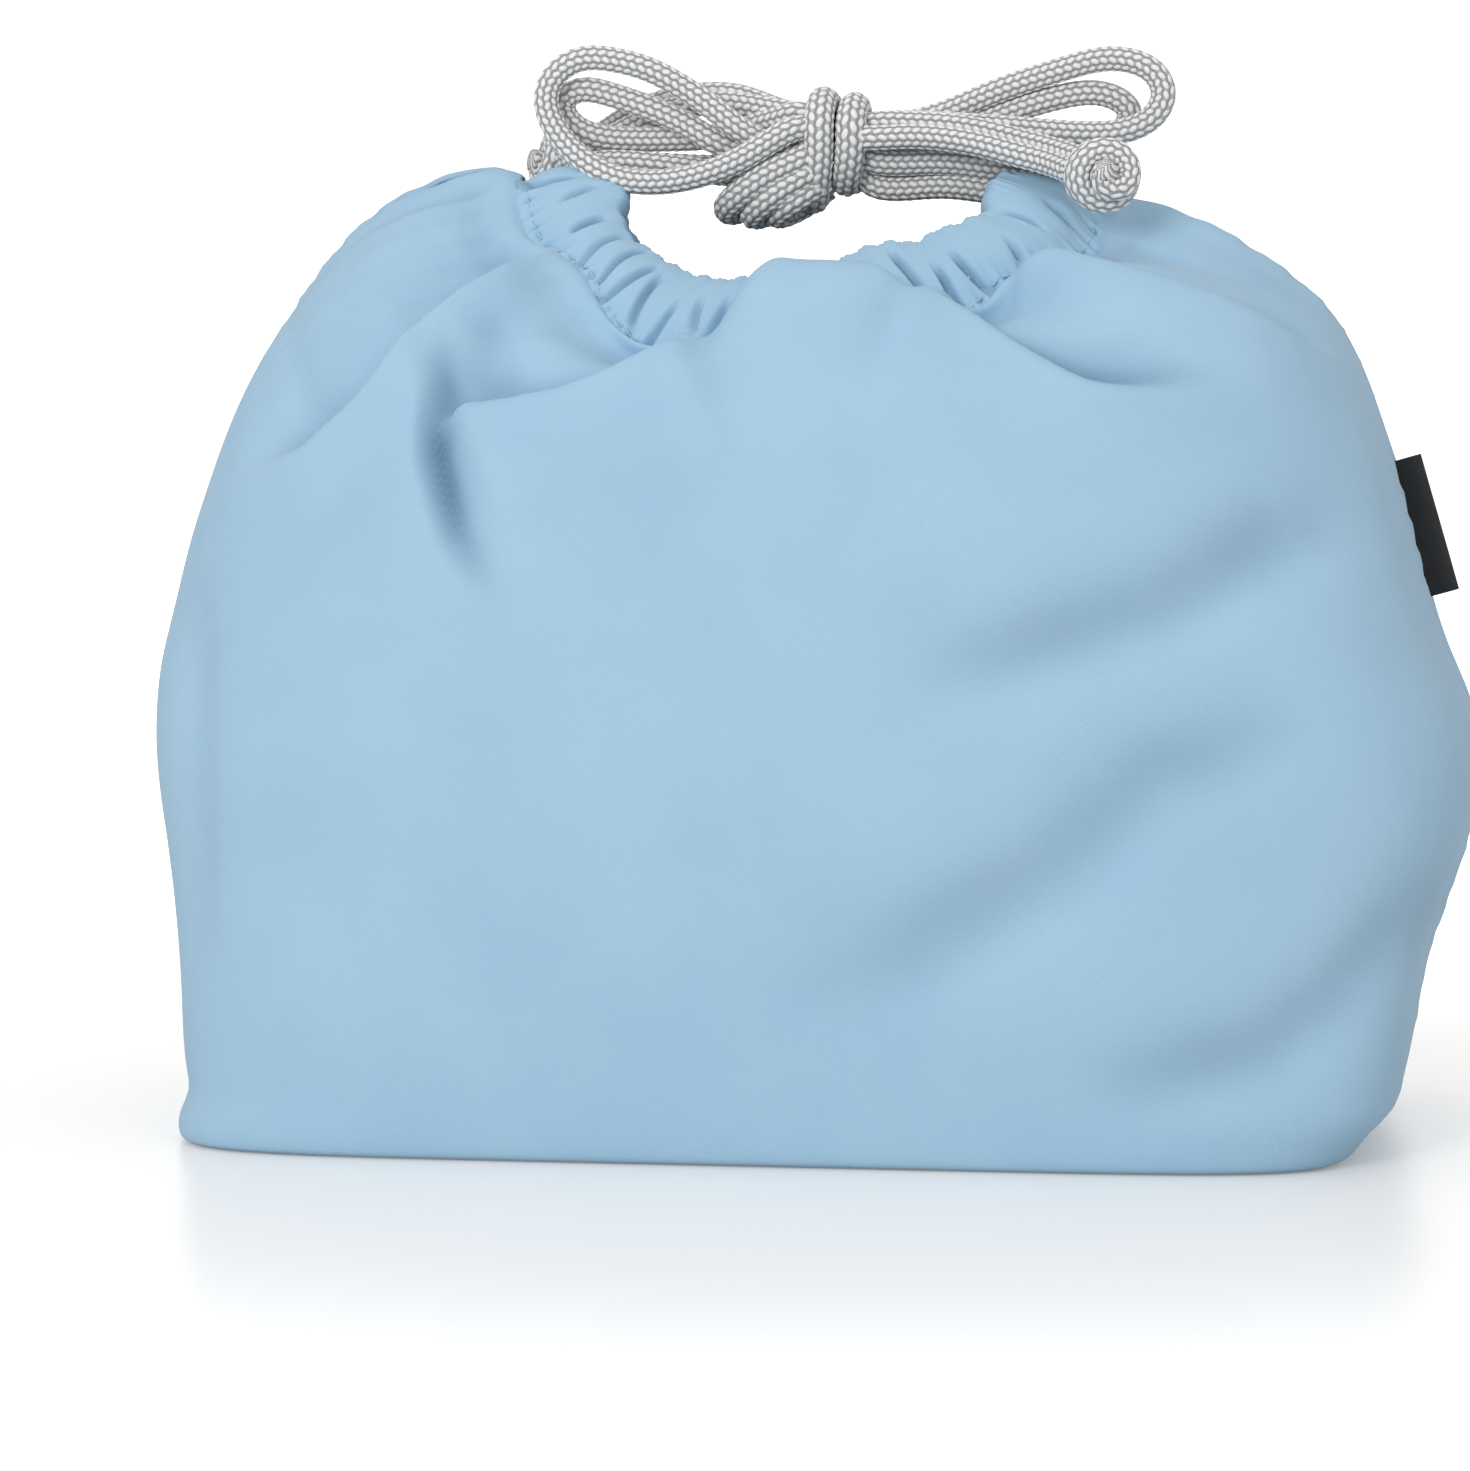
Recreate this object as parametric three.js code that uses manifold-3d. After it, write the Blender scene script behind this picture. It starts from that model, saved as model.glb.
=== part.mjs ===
// A drawstring lunch bag of soft cloth: two panels sewn at the sides, the base and the boxed corners,
// a gathered casing round the mouth, two looped drawcords tied in a bow, and a folded woven label.
// Millimetres, +Z up, +X to the right of someone who looks at the front, the front at -Y.
import * as THREE from "three";
import { mergeVertices } from "three/addons/utils/BufferGeometryUtils.js";
import Module from "manifold-3d";

const wasm = await Module();
wasm.setup();

// Driving dimensions of the cloth shell
const bagWidth = 230; // across the belly, its widest level
const bagDepth = 132; // front to back at the belly
const crownHeight = 170; // base to the top of the shoulders
const clothWall = 1.6; // panel cloth with its inner facing
const sewnGap = 0.3; // between two pieces that are sewn together
const shoulderDrop = 5; // the right shoulder, under the tail of the bow, sits lower than the left

// Driving dimensions of the mouth
const mouthWidth = 68; // inside the folded rim, side to side
const mouthDepth = 47; // inside the folded rim, front to back
const rimSideDrop = 3.5; // the rim rides high at the side seams, just below the crown
const rimFrontDrop = 16.5; // and dips at the front and the back
const neckWidth = 106; // across the stitch line that closes the casing
const neckDepth = 77;
const neckSideDrop = 2.5;
const neckFrontDrop = 26.5;
const casingEndGap = 11; // between the front and the back casing at each side seam

// Driving dimensions of the casing's section
const casingThickness = 8; // where it is stuffed with two cords
const hemThickness = 2.2; // where it is stitched flat
const foldThickness = 3.4; // just below the folded rim
const boreLength = 10.2; // channel, across the band
const boreThickness = 5.2;
const boreSetback = 4.7; // stitch line to channel

// Driving dimensions of the sewing
const allowanceDepth = 7; // seam allowance inside, square to the seam
const allowanceThickness = 2; // two layers of cloth
const baseSeamWidth = 12;
const baseSeamThickness = 1.4;
const cornerSeamWidth = 9;
const threadDiameter = 0.9;
const threadSetback = 1.6; // stitch row above the panel's edge, along the band

// Driving dimensions of the cords
const cordDiameter = 4.4;
const cordSides = 8;
const cordStep = 11; // length of one straight step of a free strand
const laneSpacing = 4.9; // two cords side by side in one casing
const wrapDiameter = 5; // a wrap of the knot bulges more than the free cord
const stopperDiameter = 12.6; // the cord tied over itself at its end

// Driving dimensions of the label
const labelHeight = 25;
const labelReach = 5.6; // clear of the seam
const labelThickness = 1.3; // two layers of ribbon
const labelFoot = 97; // base to the label's lower edge
const labelStitchWidth = 1.6;

const turn = 2 * Math.PI;

const materials = {
  cloth: { color: 0xa8cbe3, roughness: 0.88, metalness: 0 },
  lining: { color: 0x9cc0d9, roughness: 0.9, metalness: 0 },
  thread: { color: 0xa2c4de, roughness: 0.7, metalness: 0 },
  braid: { color: 0xc9c9c7, roughness: 0.7, metalness: 0 },
  ribbon: { color: 0x232323, roughness: 0.75, metalness: 0 },
};

function piece(name, geometry, material) {
  const mesh = new THREE.Mesh(geometry, new THREE.MeshStandardMaterial(materials[material]));
  mesh.name = name;
  return mesh;
}

// Solids and their booleans

function solid(geometry) {
  const bare = geometry.clone();
  bare.deleteAttribute("normal");
  bare.deleteAttribute("uv");
  const merged = mergeVertices(bare);
  return new wasm.Manifold(
    new wasm.Mesh({
      numProp: 3,
      vertProperties: new Float32Array(merged.attributes.position.array),
      triVerts: new Uint32Array(merged.index.array),
    }),
  );
}

function geometryOf(made) {
  const mesh = made.getMesh();
  const geometry = new THREE.BufferGeometry();
  geometry.setAttribute("position", new THREE.BufferAttribute(mesh.vertProperties, 3));
  geometry.setIndex(new THREE.BufferAttribute(mesh.triVerts, 1));
  geometry.computeVertexNormals();
  return geometry;
}

// A closed skin over rings of equal point counts, with a flat cap on the first and on the last.
function loft(rings) {
  const count = rings[0].length;
  const points = rings.flat();
  const faces = [];
  for (let r = 0; r + 1 < rings.length; r += 1) {
    for (let i = 0; i < count; i += 1) {
      const a = r * count + i;
      const b = r * count + ((i + 1) % count);
      faces.push(a, b, b + count, a, b + count, a + count);
    }
  }
  const last = (rings.length - 1) * count;
  for (const [start, forwards] of [[0, false], [last, true]]) {
    const centre = new THREE.Vector3();
    for (let i = 0; i < count; i += 1) {
      centre.addScaledVector(points[start + i], 1 / count);
    }
    const hub = points.push(centre) - 1;
    for (let i = 0; i < count; i += 1) {
      const a = start + i;
      const b = start + ((i + 1) % count);
      faces.push(hub, forwards ? a : b, forwards ? b : a);
    }
  }
  const geometry = new THREE.BufferGeometry().setFromPoints(points);
  geometry.setIndex(faces);
  geometry.computeVertexNormals();
  return geometry;
}

// The cloth shell
// Each level of a panel, from the edge of the base up. Below the belly, side and front are shares of half
// the bag's width and depth. Above it they are shares of the way out from the stitch line to the belly.
// A rise is a share of the crown's height, and square says how square the level is.
const lowerShares = [
  { side: 0.893, front: 0.83, sideRise: 0, frontRise: 0, square: 4.8 },
  { side: 0.92, front: 0.873, sideRise: 0.015, frontRise: 0.015, square: 4.8 },
  { side: 0.936, front: 0.91, sideRise: 0.09, frontRise: 0.09, square: 4.7 },
  { side: 0.957, front: 0.95, sideRise: 0.19, frontRise: 0.19, square: 4.5 },
  { side: 0.988, front: 0.98, sideRise: 0.3, frontRise: 0.3, square: 4.2 },
  { side: 1, front: 1, sideRise: 0.42, frontRise: 0.42, square: 4 },
];
const upperShares = [
  { side: 0.939, front: 1, sideRise: 0.53, frontRise: 0.53, square: 3.7 },
  { side: 0.904, front: 0.977, sideRise: 0.585, frontRise: 0.581, square: 3.55 },
  { side: 0.865, front: 0.94, sideRise: 0.64, frontRise: 0.63, square: 3.4 },
  { side: 0.82, front: 0.892, sideRise: 0.693, frontRise: 0.679, square: 3.25 },
  { side: 0.77, front: 0.832, sideRise: 0.745, frontRise: 0.725, square: 3.1 },
  { side: 0.713, front: 0.759, sideRise: 0.794, frontRise: 0.767, square: 2.94 },
  { side: 0.648, front: 0.676, sideRise: 0.84, frontRise: 0.805, square: 2.8 },
  { side: 0.566, front: 0.587, sideRise: 0.883, frontRise: 0.837, square: 2.69 },
  { side: 0.481, front: 0.496, sideRise: 0.92, frontRise: 0.864, square: 2.6 },
  { side: 0.332, front: 0.328, sideRise: 0.972, frontRise: 0.898, square: 2.4 },
  { side: 0.202, front: 0.172, sideRise: 0.997, frontRise: 0.905, square: 2.2 },
  { side: 0.091, front: 0.052, sideRise: 1, frontRise: 0.886, square: 2.1 },
  {
    side: 0, front: 0, square: 2,
    sideRise: 1 - neckSideDrop / crownHeight, frontRise: 1 - neckFrontDrop / crownHeight,
  },
];
const ringPoints = 120;

const between = THREE.MathUtils.lerp;
const sideProfile = [
  ...lowerShares.map((l) => new THREE.Vector2((l.side * bagWidth) / 2, l.sideRise * crownHeight)),
  ...upperShares.map(
    (l) => new THREE.Vector2(between(neckWidth, bagWidth, l.side) / 2, l.sideRise * crownHeight),
  ),
];
const frontProfile = [
  ...lowerShares.map((l) => new THREE.Vector2((l.front * bagDepth) / 2, l.frontRise * crownHeight)),
  ...upperShares.map(
    (l) => new THREE.Vector2(between(neckDepth, bagDepth, l.front) / 2, l.frontRise * crownHeight),
  ),
];
const squareness = [...lowerShares, ...upperShares].map((l) => l.square);
const neckSideHeight = crownHeight - neckSideDrop;
const neckFrontHeight = crownHeight - neckFrontDrop;
const rimSideHeight = crownHeight - rimSideDrop;
const rimFrontHeight = crownHeight - rimFrontDrop;

// The profile moved inwards by a distance, square to itself, with its foot lifted off the base.
function inwards(profile, distance) {
  return profile.map((point, i) => {
    const before = profile[Math.max(i - 1, 0)];
    const after = profile[Math.min(i + 1, profile.length - 1)];
    const along = after.clone().sub(before).normalize();
    const moved = new THREE.Vector2(point.x - along.y * distance, point.y + along.x * distance);
    if (i === 0) {
      moved.set(point.x - distance, distance);
    }
    moved.y = Math.max(moved.y, distance);
    return moved;
  });
}

// How far the right shoulder sits below the left one, at a place on the cloth.
function settled(x, z) {
  const outwards = THREE.MathUtils.smoothstep(x, 0, neckWidth / 2);
  const upwards = THREE.MathUtils.smoothstep(z, neckFrontHeight, crownHeight);
  return z - shoulderDrop * outwards * upwards;
}

// Where the mouth, the casing and the cloth below it are drawn down. Each dip is deepest at its place,
// left or right of the middle. It starts some way in front of the side seams or behind them, and fades
// out down to its foot.
const inFront = -1;
const behind = 1;
const dips = [
  { side: inFront, depth: 8.5, place: -24, reach: 17, start: 8, full: 26, foot: 115, head: neckFrontHeight },
  {
    side: inFront, depth: 5, place: -22, reach: 12, start: 28, full: 40,
    foot: neckFrontHeight, head: rimFrontHeight,
  },
  { side: inFront, depth: 7.5, place: 36, reach: 10, start: 20, full: 32, foot: 128, head: 146 },
  { side: inFront, depth: 4.5, place: -48, reach: 11, start: 8, full: 22, foot: 124, head: 158 },
  { side: inFront, depth: 5.5, place: 52, reach: 11, start: 8, full: 22, foot: 124, head: 158 },
  { side: behind, depth: 6, place: -4, reach: 60, start: 8, full: 26, foot: 118, head: neckFrontHeight },
  { side: behind, depth: 4, place: -34, reach: 14, start: 8, full: 26, foot: 118, head: neckFrontHeight },
];

function bellShare(distance, reach) {
  return Math.exp(-((distance / reach) ** 2));
}

function drawnDown(point) {
  const eased = THREE.MathUtils.smoothstep;
  for (const { side, depth, place, reach, start, full, foot, head } of dips) {
    const across = bellShare(point.x - place, reach);
    const away = eased(side * point.y, start, full);
    point.z -= depth * across * away * eased(point.z, foot, head);
  }
  return point;
}

// Folds of the front cloth, seen from the front: the path of each edge, where the cloth swells up to
// it, sinks behind it, and how far from it that reaches.
const folds = [
  { path: [[-58, 143], [-58, 126], [-56, 113], [-49, 99], [-42, 91]], swell: 2.6, sink: 4.6, reach: 7 },
  { path: [[-94, 116], [-79, 122], [-67, 132], [-60, 142], [-50, 149]], swell: 2.4, sink: 3, reach: 8 },
  { path: [[-56, 126], [-43, 130], [-27, 134], [-12, 140]], swell: 2, sink: 2.6, reach: 8 },
  { path: [[28, 147], [41, 139], [54, 133], [70, 132], [83, 131]], swell: 2, sink: 2.4, reach: 8 },
];
const foldEndShare = 0.2; // of a fold's length, over which it fades out at each end
const foldsStart = 19; // in front of the side seams, where the folds begin
const foldsFull = 38; // and where they are whole

function foldPush(x, z) {
  let push = 0;
  for (const { path, swell, sink, reach } of folds) {
    const corners = path.map((p) => new THREE.Vector2(...p));
    const lengths = corners.slice(1).map((corner, i) => corner.distanceTo(corners[i]));
    const whole = lengths.reduce((sum, length) => sum + length, 0);
    let walked = 0;
    let best = { gap: Infinity };
    lengths.forEach((length, i) => {
      const along = corners[i + 1].clone().sub(corners[i]).divideScalar(length);
      const offset = new THREE.Vector2(x, z).sub(corners[i]);
      const run = THREE.MathUtils.clamp(offset.dot(along), 0, length);
      const gap = offset.clone().addScaledVector(along, -run).length();
      if (gap < best.gap) {
        best = { gap, side: Math.sign(along.cross(offset)), share: (walked + run) / whole };
      }
      walked += length;
    });
    const ends = Math.min(best.share, 1 - best.share);
    const strength = THREE.MathUtils.smoothstep(ends, 0, foldEndShare);
    const away = best.gap * best.side;
    const half = reach / 2;
    push += strength * (swell * bellShare(away + half, reach) - sink * bellShare(away - half, reach));
  }
  return push;
}

// A point of a panel's front moved out or in by the folds, square to the cloth.
function folded(point, slope) {
  const forward = THREE.MathUtils.smoothstep(-point.y, foldsStart, foldsFull);
  const below = 1 - THREE.MathUtils.smoothstep(point.z, neckFrontHeight, rimFrontHeight);
  const push = foldPush(point.x, point.z) * forward * below;
  point.y -= push * slope.y;
  point.z -= push * slope.x;
  return point;
}

function levelRing(side, front, square, slope) {
  const ring = [];
  for (let i = 0; i < ringPoints; i += 1) {
    const angle = (i / ringPoints) * turn;
    const c = Math.cos(angle);
    const s = Math.sin(angle);
    const reach = (Math.abs(c) ** square + Math.abs(s) ** square) ** (-1 / square);
    const sideShare = (c * reach) ** 2;
    const height = front.y + (side.y - front.y) * sideShare;
    const x = side.x * c * reach;
    const point = new THREE.Vector3(x, front.x * s * reach, settled(x, height));
    ring.push(drawnDown(folded(point, slope)));
  }
  return ring;
}

const innerSide = inwards(sideProfile, clothWall);
const innerFront = inwards(frontProfile, clothWall);
// The front's direction upwards along the cloth, at each level.
const frontSlopes = frontProfile.map((point, i) => {
  const before = frontProfile[Math.max(i - 1, 0)];
  const after = frontProfile[Math.min(i + 1, frontProfile.length - 1)];
  return after.clone().sub(before).normalize();
});
const ringsOf = (side, front) =>
  side.map((p, i) => levelRing(p, front[i], squareness[i], frontSlopes[i]));
const outerRings = ringsOf(sideProfile, frontProfile);
const innerRings = ringsOf(innerSide, innerFront);
const shell = solid(loft([...outerRings, ...innerRings.reverse()]));

function halfSpace(sign) {
  const block = new THREE.BoxGeometry(2 * bagWidth, bagDepth, 2 * crownHeight);
  block.translate(0, (sign * (bagDepth + sewnGap)) / 2, crownHeight / 2);
  return solid(block);
}

// Seams inside the shell
// Where a profile passes a height, on its way up.
function profileAt(profile, height) {
  const i = profile.findIndex((p) => p.y > height);
  const low = profile[i - 1];
  const high = profile[i];
  const share = (height - low.y) / (high.y - low.y);
  return low.x + (high.x - low.x) * share;
}

// The allowances of a side seam stand inwards along the whole side, above the corner seam.
function sideAllowance(sign) {
  const outer = inwards(sideProfile, clothWall + sewnGap);
  const inner = inwards(sideProfile, clothWall + sewnGap + allowanceDepth);
  const foot = clothWall + 2 * sewnGap + baseSeamThickness;
  const pairs = outer.map((p, i) => ({ outer: p, inner: inner[i] }));
  const used = pairs.filter((pair) => pair.inner.y > foot + allowanceDepth);
  const shape = new THREE.Shape();
  shape.moveTo(sign * used[0].inner.x, foot);
  shape.lineTo(sign * profileAt(outer, foot), foot);
  const follow = (p) => shape.lineTo(sign * p.x, settled(sign * p.x, p.y));
  used.forEach((pair) => follow(pair.outer));
  used.reverse().forEach((pair) => follow(pair.inner));
  const strip = new THREE.ExtrudeGeometry(shape, {
    depth: allowanceThickness,
    bevelEnabled: false,
  });
  strip.rotateX(turn / 4);
  strip.translate(0, allowanceThickness / 2, 0);
  return strip;
}

const floorTop = clothWall + sewnGap;
const cornerSeamPlace = innerSide[0].x - cornerSeamWidth;

// Half the depth of the floor at a distance from its middle.
function floorReach(x) {
  const square = squareness[0];
  return innerFront[0].x * (1 - (x / innerSide[0].x) ** square) ** (1 / square);
}

function baseSeam() {
  const length = 2 * (cornerSeamPlace - cornerSeamWidth / 2 - sewnGap);
  const strip = new THREE.BoxGeometry(length, baseSeamWidth, baseSeamThickness);
  strip.translate(0, 0, floorTop + baseSeamThickness / 2);
  return strip;
}

function cornerSeam(sign) {
  const length = 2 * (floorReach(cornerSeamPlace + cornerSeamWidth / 2) - clothWall);
  const strip = new THREE.BoxGeometry(cornerSeamWidth, length, baseSeamThickness);
  strip.translate(sign * cornerSeamPlace, 0, floorTop + baseSeamThickness / 2);
  return strip;
}

// The casing round the mouth
// A station of the band: the stitch line, the folded rim, and the directions across and through it.
const casingStations = 18;
const bandLift = 3 * sewnGap; // the hem starts clear of the valley above the panel's edge

function ellipsePoint(width, depth, side, front, angle) {
  const c = Math.cos(angle);
  const height = front + (side - front) * c * c;
  return new THREE.Vector3((width / 2) * c, (depth / 2) * Math.sin(angle), height);
}

const rimPoint = (angle) =>
  ellipsePoint(mouthWidth, mouthDepth, rimSideHeight, rimFrontHeight, angle);
const neckPoint = (angle) =>
  ellipsePoint(neckWidth, neckDepth, neckSideHeight, neckFrontHeight, angle);

const endAngle = Math.asin(casingEndGap / mouthDepth);

function bandStation(angle) {
  const neck = neckPoint(angle);
  const rim = rimPoint(angle);
  const across = rim.clone().sub(neck);
  const width = across.length() - bandLift;
  across.normalize();
  const tangent = neckPoint(angle + 0.5 / ringPoints).sub(neckPoint(angle - 0.5 / ringPoints));
  const through = tangent.cross(across).normalize();
  return { origin: neck.addScaledVector(across, bandLift), across, through, width };
}

const bandStations = [];
for (let i = 0; i <= casingStations; i += 1) {
  const share = i / casingStations;
  bandStations.push(bandStation(turn / 2 + endAngle + (turn / 2 - 2 * endAngle) * share));
}
// One more station past each end, for a cut that runs out of the band.
const overrunAngle = endAngle / 4;
const cutStations = [
  bandStation(turn / 2 + endAngle - overrunAngle),
  ...bandStations,
  bandStation(turn - endAngle + overrunAngle),
];

// Every part of the band follows the same stations, so nested parts never cut each other.
function alongBand(outline, sign, stations = bandStations) {
  const rings = stations.map((station) =>
    outline(station).map(([along, out]) => {
      const point = station.origin
        .clone()
        .addScaledVector(station.across, along)
        .addScaledVector(station.through, out);
      point.y *= sign;
      return drawnDown(point);
    }),
  );
  return loft(sign > 0 ? rings.reverse() : rings);
}

const fullestShare = 0.57; // of the band's width, where its thickness peaks

const casingOutline = ({ width }) => {
  const swellStart = boreSetback - threadSetback;
  const fullest = fullestShare * width;
  const upper = [
    [0, hemThickness / 2],
    [swellStart, hemThickness / 2 + sewnGap],
    [(swellStart + fullest) / 2, (casingThickness + hemThickness) / 4 + sewnGap * 2],
    [fullest, casingThickness / 2],
    [(fullest + width) / 2, (casingThickness + foldThickness) / 4 + sewnGap],
    [width - foldThickness / 4, foldThickness / 2],
  ];
  const lower = upper.map(([along, out]) => [along, -out]).reverse();
  return [...upper, [width, 0], ...lower];
};

const boreOutline = () => {
  const start = boreSetback;
  const end = boreSetback + boreLength;
  const half = boreThickness / 2;
  const bevel = half / 2;
  return [
    [start, half - bevel],
    [start + bevel, half],
    [end - bevel, half],
    [end, half - bevel],
    [end, bevel - half],
    [end - bevel, -half],
    [start + bevel, -half],
    [start, bevel - half],
  ];
};

function circleOutline(centre, out, diameter, sides) {
  return () => {
    const points = [];
    for (let i = 0; i < sides; i += 1) {
      const angle = ((0.5 - i) / sides) * turn;
      points.push([
        centre + (diameter / 2) * Math.cos(angle),
        out + (diameter / 2) * Math.sin(angle),
      ]);
    }
    return points;
  };
}

const innerLane = boreSetback + (boreLength + laneSpacing) / 2;
const outerLane = boreSetback + (boreLength - laneSpacing) / 2;
const threadOut = hemThickness / 2 + sewnGap + threadDiameter / 2;

function casing(sign) {
  const band = solid(alongBand(casingOutline, sign));
  const bore = solid(alongBand(boreOutline, sign, cutStations));
  return geometryOf(band.subtract(bore));
}

// The bow
// Every point of the bow is counted from the middle of its knot.
const knotOffset = 5.8; // the bow is tied a little to the right of the mouth's middle
const knotRise = 5; // above the crown
const knotCentre = new THREE.Vector3(knotOffset, 0, crownHeight + knotRise);

// Routes of the free strands, chosen by hand, in millimetres from the knot's middle: x, y, z.
const routes = {
  left_leg_front: [[-45, -2.4, -5], [-33, -2.4, -4.8], [-22, 0.1, -6.2], [-14, 0.2, -7], [-6.2, -0.6, -7.4]],
  left_leg_back: [[-45, 2.4, -5], [-33, 2.4, -4.8], [-22, 4.6, -5.2], [-14, 4.6, -5.2], [-6.2, 4, -4.4]],
  right_leg_upper: [[6.3, -1.5, -3.4], [17, -0.6, -2.8], [26, 0, -4.2], [35, 0, -5.1], [40, 0, -5.1]],
  right_leg_lower: [[6.3, 0, -8.2], [17, 0, -8.2], [26, 0, -9.2], [35, 0, -10], [40, 0, -10]],
  left_loop_outer: [
    [-6.2, -6.5, 1.6], [-10, -8, 0.4], [-16.5, -8.8, -2.9], [-25, -8.8, -5.6], [-32, -8.6, -6.4],
    [-38.5, -8.2, -5.6], [-45, -7.4, -2.5], [-50, -6.4, 1.6], [-52.9, -5.6, 6.8], [-52.6, -5.2, 11.2],
    [-49.9, -5, 14.8], [-45.6, -4.8, 16.6], [-39.9, -4.6, 16.2], [-33.8, -4.4, 14.2], [-28.5, -4, 11.2],
    [-22.5, -3.6, 7.2], [-17, -3.2, 3], [-11, -1.6, 0], [-6.2, -0.5, -0.2],
  ],
  left_loop_inner: [
    [-6.2, -2, 5.6], [-10.6, 0.3, 5.2], [-16, 3, 3.6], [-22, 3, 1.6], [-31, 2.2, 0.7],
    [-38.2, 1.6, 1], [-43.6, 0.6, 2.4], [-47, -0.6, 5.2], [-47.4, -1.2, 8.6], [-44.2, -1.4, 10.6],
    [-39.5, -1.6, 9.8], [-33, -1.4, 7.2], [-27, -1.2, 3.8], [-21.4, -1.4, -0.6], [-16, 1.2, -1.8],
    [-11, 4, 0], [-6.2, 4.6, 0.6],
  ],
  left_tail_upper: [
    [-6.2, 7, 5.7], [-12, 9.2, 8.4], [-19, 10.2, 10.8], [-26, 10.2, 10.8], [-33, 11, 8.4],
    [-39.6, 14, 5], [-45, 18.8, 1.6], [-49.9, 23.2, -0.8],
  ],
  left_tail_lower: [
    [-6.2, 2.6, 8.3], [-12, 4.4, 8.6], [-19, 5.2, 9.2], [-26, 5.2, 8.6], [-33, 5.4, 5.8],
    [-38.6, 8.4, 2.6], [-44.6, 12.4, -0.6], [-49.6, 16.6, -2.8], [-52.3, 19.7, -3.8],
  ],
  right_loop_outer: [
    [6.3, 6.3, 7.5], [13.2, 6.4, 7.8], [20, 6.2, 8.6], [27, 6, 10.4], [34, 5.8, 12.6],
    [40, 5.4, 14.6], [46, 5, 16.2], [51.6, 4.6, 16], [56.4, 4.2, 13.7], [58.6, 3.8, 9.3],
    [57, 3, 4.6], [52.4, 2, 1.9], [46, 1.2, 1.6], [38, 0.9, 2.6], [28.5, 0.8, 5],
    [17.5, 0.9, 7.4], [6.3, 1, 8.2],
  ],
  right_loop_inner: [
    [6.3, 6.8, 2.4], [13, 6.8, 2.9], [20, 6.6, 3.8], [27, 6.8, 5.2], [33, 6.9, 7.2],
    [39, 7, 9], [44, 7.1, 9.5], [49, 7.4, 8.2], [51.6, 8, 5.2], [49.6, 8, 1.6],
    [44, 6.6, -0.8], [36, 5.6, -1.6], [26, 4.6, -1], [16, 3, 0.4], [6.3, 2.2, 0.8],
  ],
  right_tail_front: [
    [6.3, -6.8, 2.5], [13, -7.4, 3], [19.6, -7.8, 3], [26, -8.6, 1.2], [32.6, -10.4, -1.6],
    [38, -12.6, -3.6], [42.9, -18.2, -5.2],
  ],
  right_tail_back: [
    [6.3, -2.2, 4], [13, -2.7, 4.4], [19.6, -3.1, 4], [26, -3.6, 2.8], [32.6, -5, 0.6],
    [38, -7.4, -0.8], [44, -12.2, -2.2], [46, -14.2, -3],
  ],
};

function circleShape(diameter, sides) {
  const shape = new THREE.Shape();
  for (let i = 0; i < sides; i += 1) {
    const angle = ((i + 0.5) / sides) * turn;
    const x = (diameter / 2) * Math.cos(angle);
    const y = (diameter / 2) * Math.sin(angle);
    if (i === 0) {
      shape.moveTo(x, y);
    } else {
      shape.lineTo(x, y);
    }
  }
  shape.closePath();
  return shape;
}

function strand(points) {
  const path = new THREE.CatmullRomCurve3(points.map((p) => new THREE.Vector3(...p)));
  return new THREE.ExtrudeGeometry(circleShape(cordDiameter, cordSides), {
    steps: Math.max(2, Math.round(path.getLength() / cordStep)),
    extrudePath: path,
    bevelEnabled: false,
  });
}

// The two wraps stand side by side round the core, across the bundle of strands.
const wrapRadius = 7.1; // to the middle of the wrapping cord
const wrapPitch = wrapDiameter + 2 * sewnGap;
const wrapSegments = 18;
const coreRadius = wrapRadius - wrapDiameter / 2 - sewnGap;
const coreLength = wrapPitch + wrapDiameter;

function wrap(place) {
  const ring = new THREE.TorusGeometry(wrapRadius, wrapDiameter / 2, cordSides, wrapSegments);
  ring.rotateY(turn / 4);
  ring.translate(place, 0, 0);
  return ring;
}

function core() {
  const half = coreLength / 2;
  const edge = coreRadius / 3;
  const profile = [
    new THREE.Vector2(0, -half),
    new THREE.Vector2(coreRadius - edge, -half),
    new THREE.Vector2(coreRadius, edge - half),
    new THREE.Vector2(coreRadius, half - edge),
    new THREE.Vector2(coreRadius - edge, half),
    new THREE.Vector2(0, half),
  ];
  const body = new THREE.LatheGeometry(profile, 12);
  body.rotateZ(-turn / 4);
  return body;
}

// The bight: the cords' first crossing, a low bundle in front of the left legs.
const bightSize = new THREE.Vector3(18.5, 5.2, 9);
const bightPlace = new THREE.Vector3(-14.3, -5.6, -9.6);
const bightTilt = 0.42; // radians, its right end up

function bight() {
  const body = new THREE.SphereGeometry(1 / 2, 14, 8);
  body.scale(bightSize.x, bightSize.y, bightSize.z);
  body.rotateY(-bightTilt);
  body.translate(bightPlace.x, bightPlace.y, bightPlace.z);
  return body;
}

// A stopper knot with the cord's cut end in the middle of its face.
const cutEndReach = cordDiameter / 2;

function stopper(place, facing) {
  const ball = new THREE.SphereGeometry(stopperDiameter / 2, 14, 9);
  const end = new THREE.ExtrudeGeometry(circleShape(cordDiameter, cordSides), {
    depth: stopperDiameter / 2 + cutEndReach,
    bevelEnabled: false,
  });
  end.applyQuaternion(
    new THREE.Quaternion().setFromUnitVectors(new THREE.Vector3(0, 0, 1), facing.normalize()),
  );
  const tied = geometryOf(solid(ball).add(solid(end)));
  tied.translate(...place);
  return tied;
}

const leftStopperPlace = [-54.8, 26, -4.6];
const rightStopperPlace = [50, -19.6, -5.9];

// The label
// The label stands out of the side seam along the cloth's own lean.
const labelRoot = new THREE.Vector2(profileAt(sideProfile, labelFoot), labelFoot);
const labelHead = labelFoot + labelHeight;
const labelTop = new THREE.Vector2(profileAt(sideProfile, labelHead), labelHead);

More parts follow.
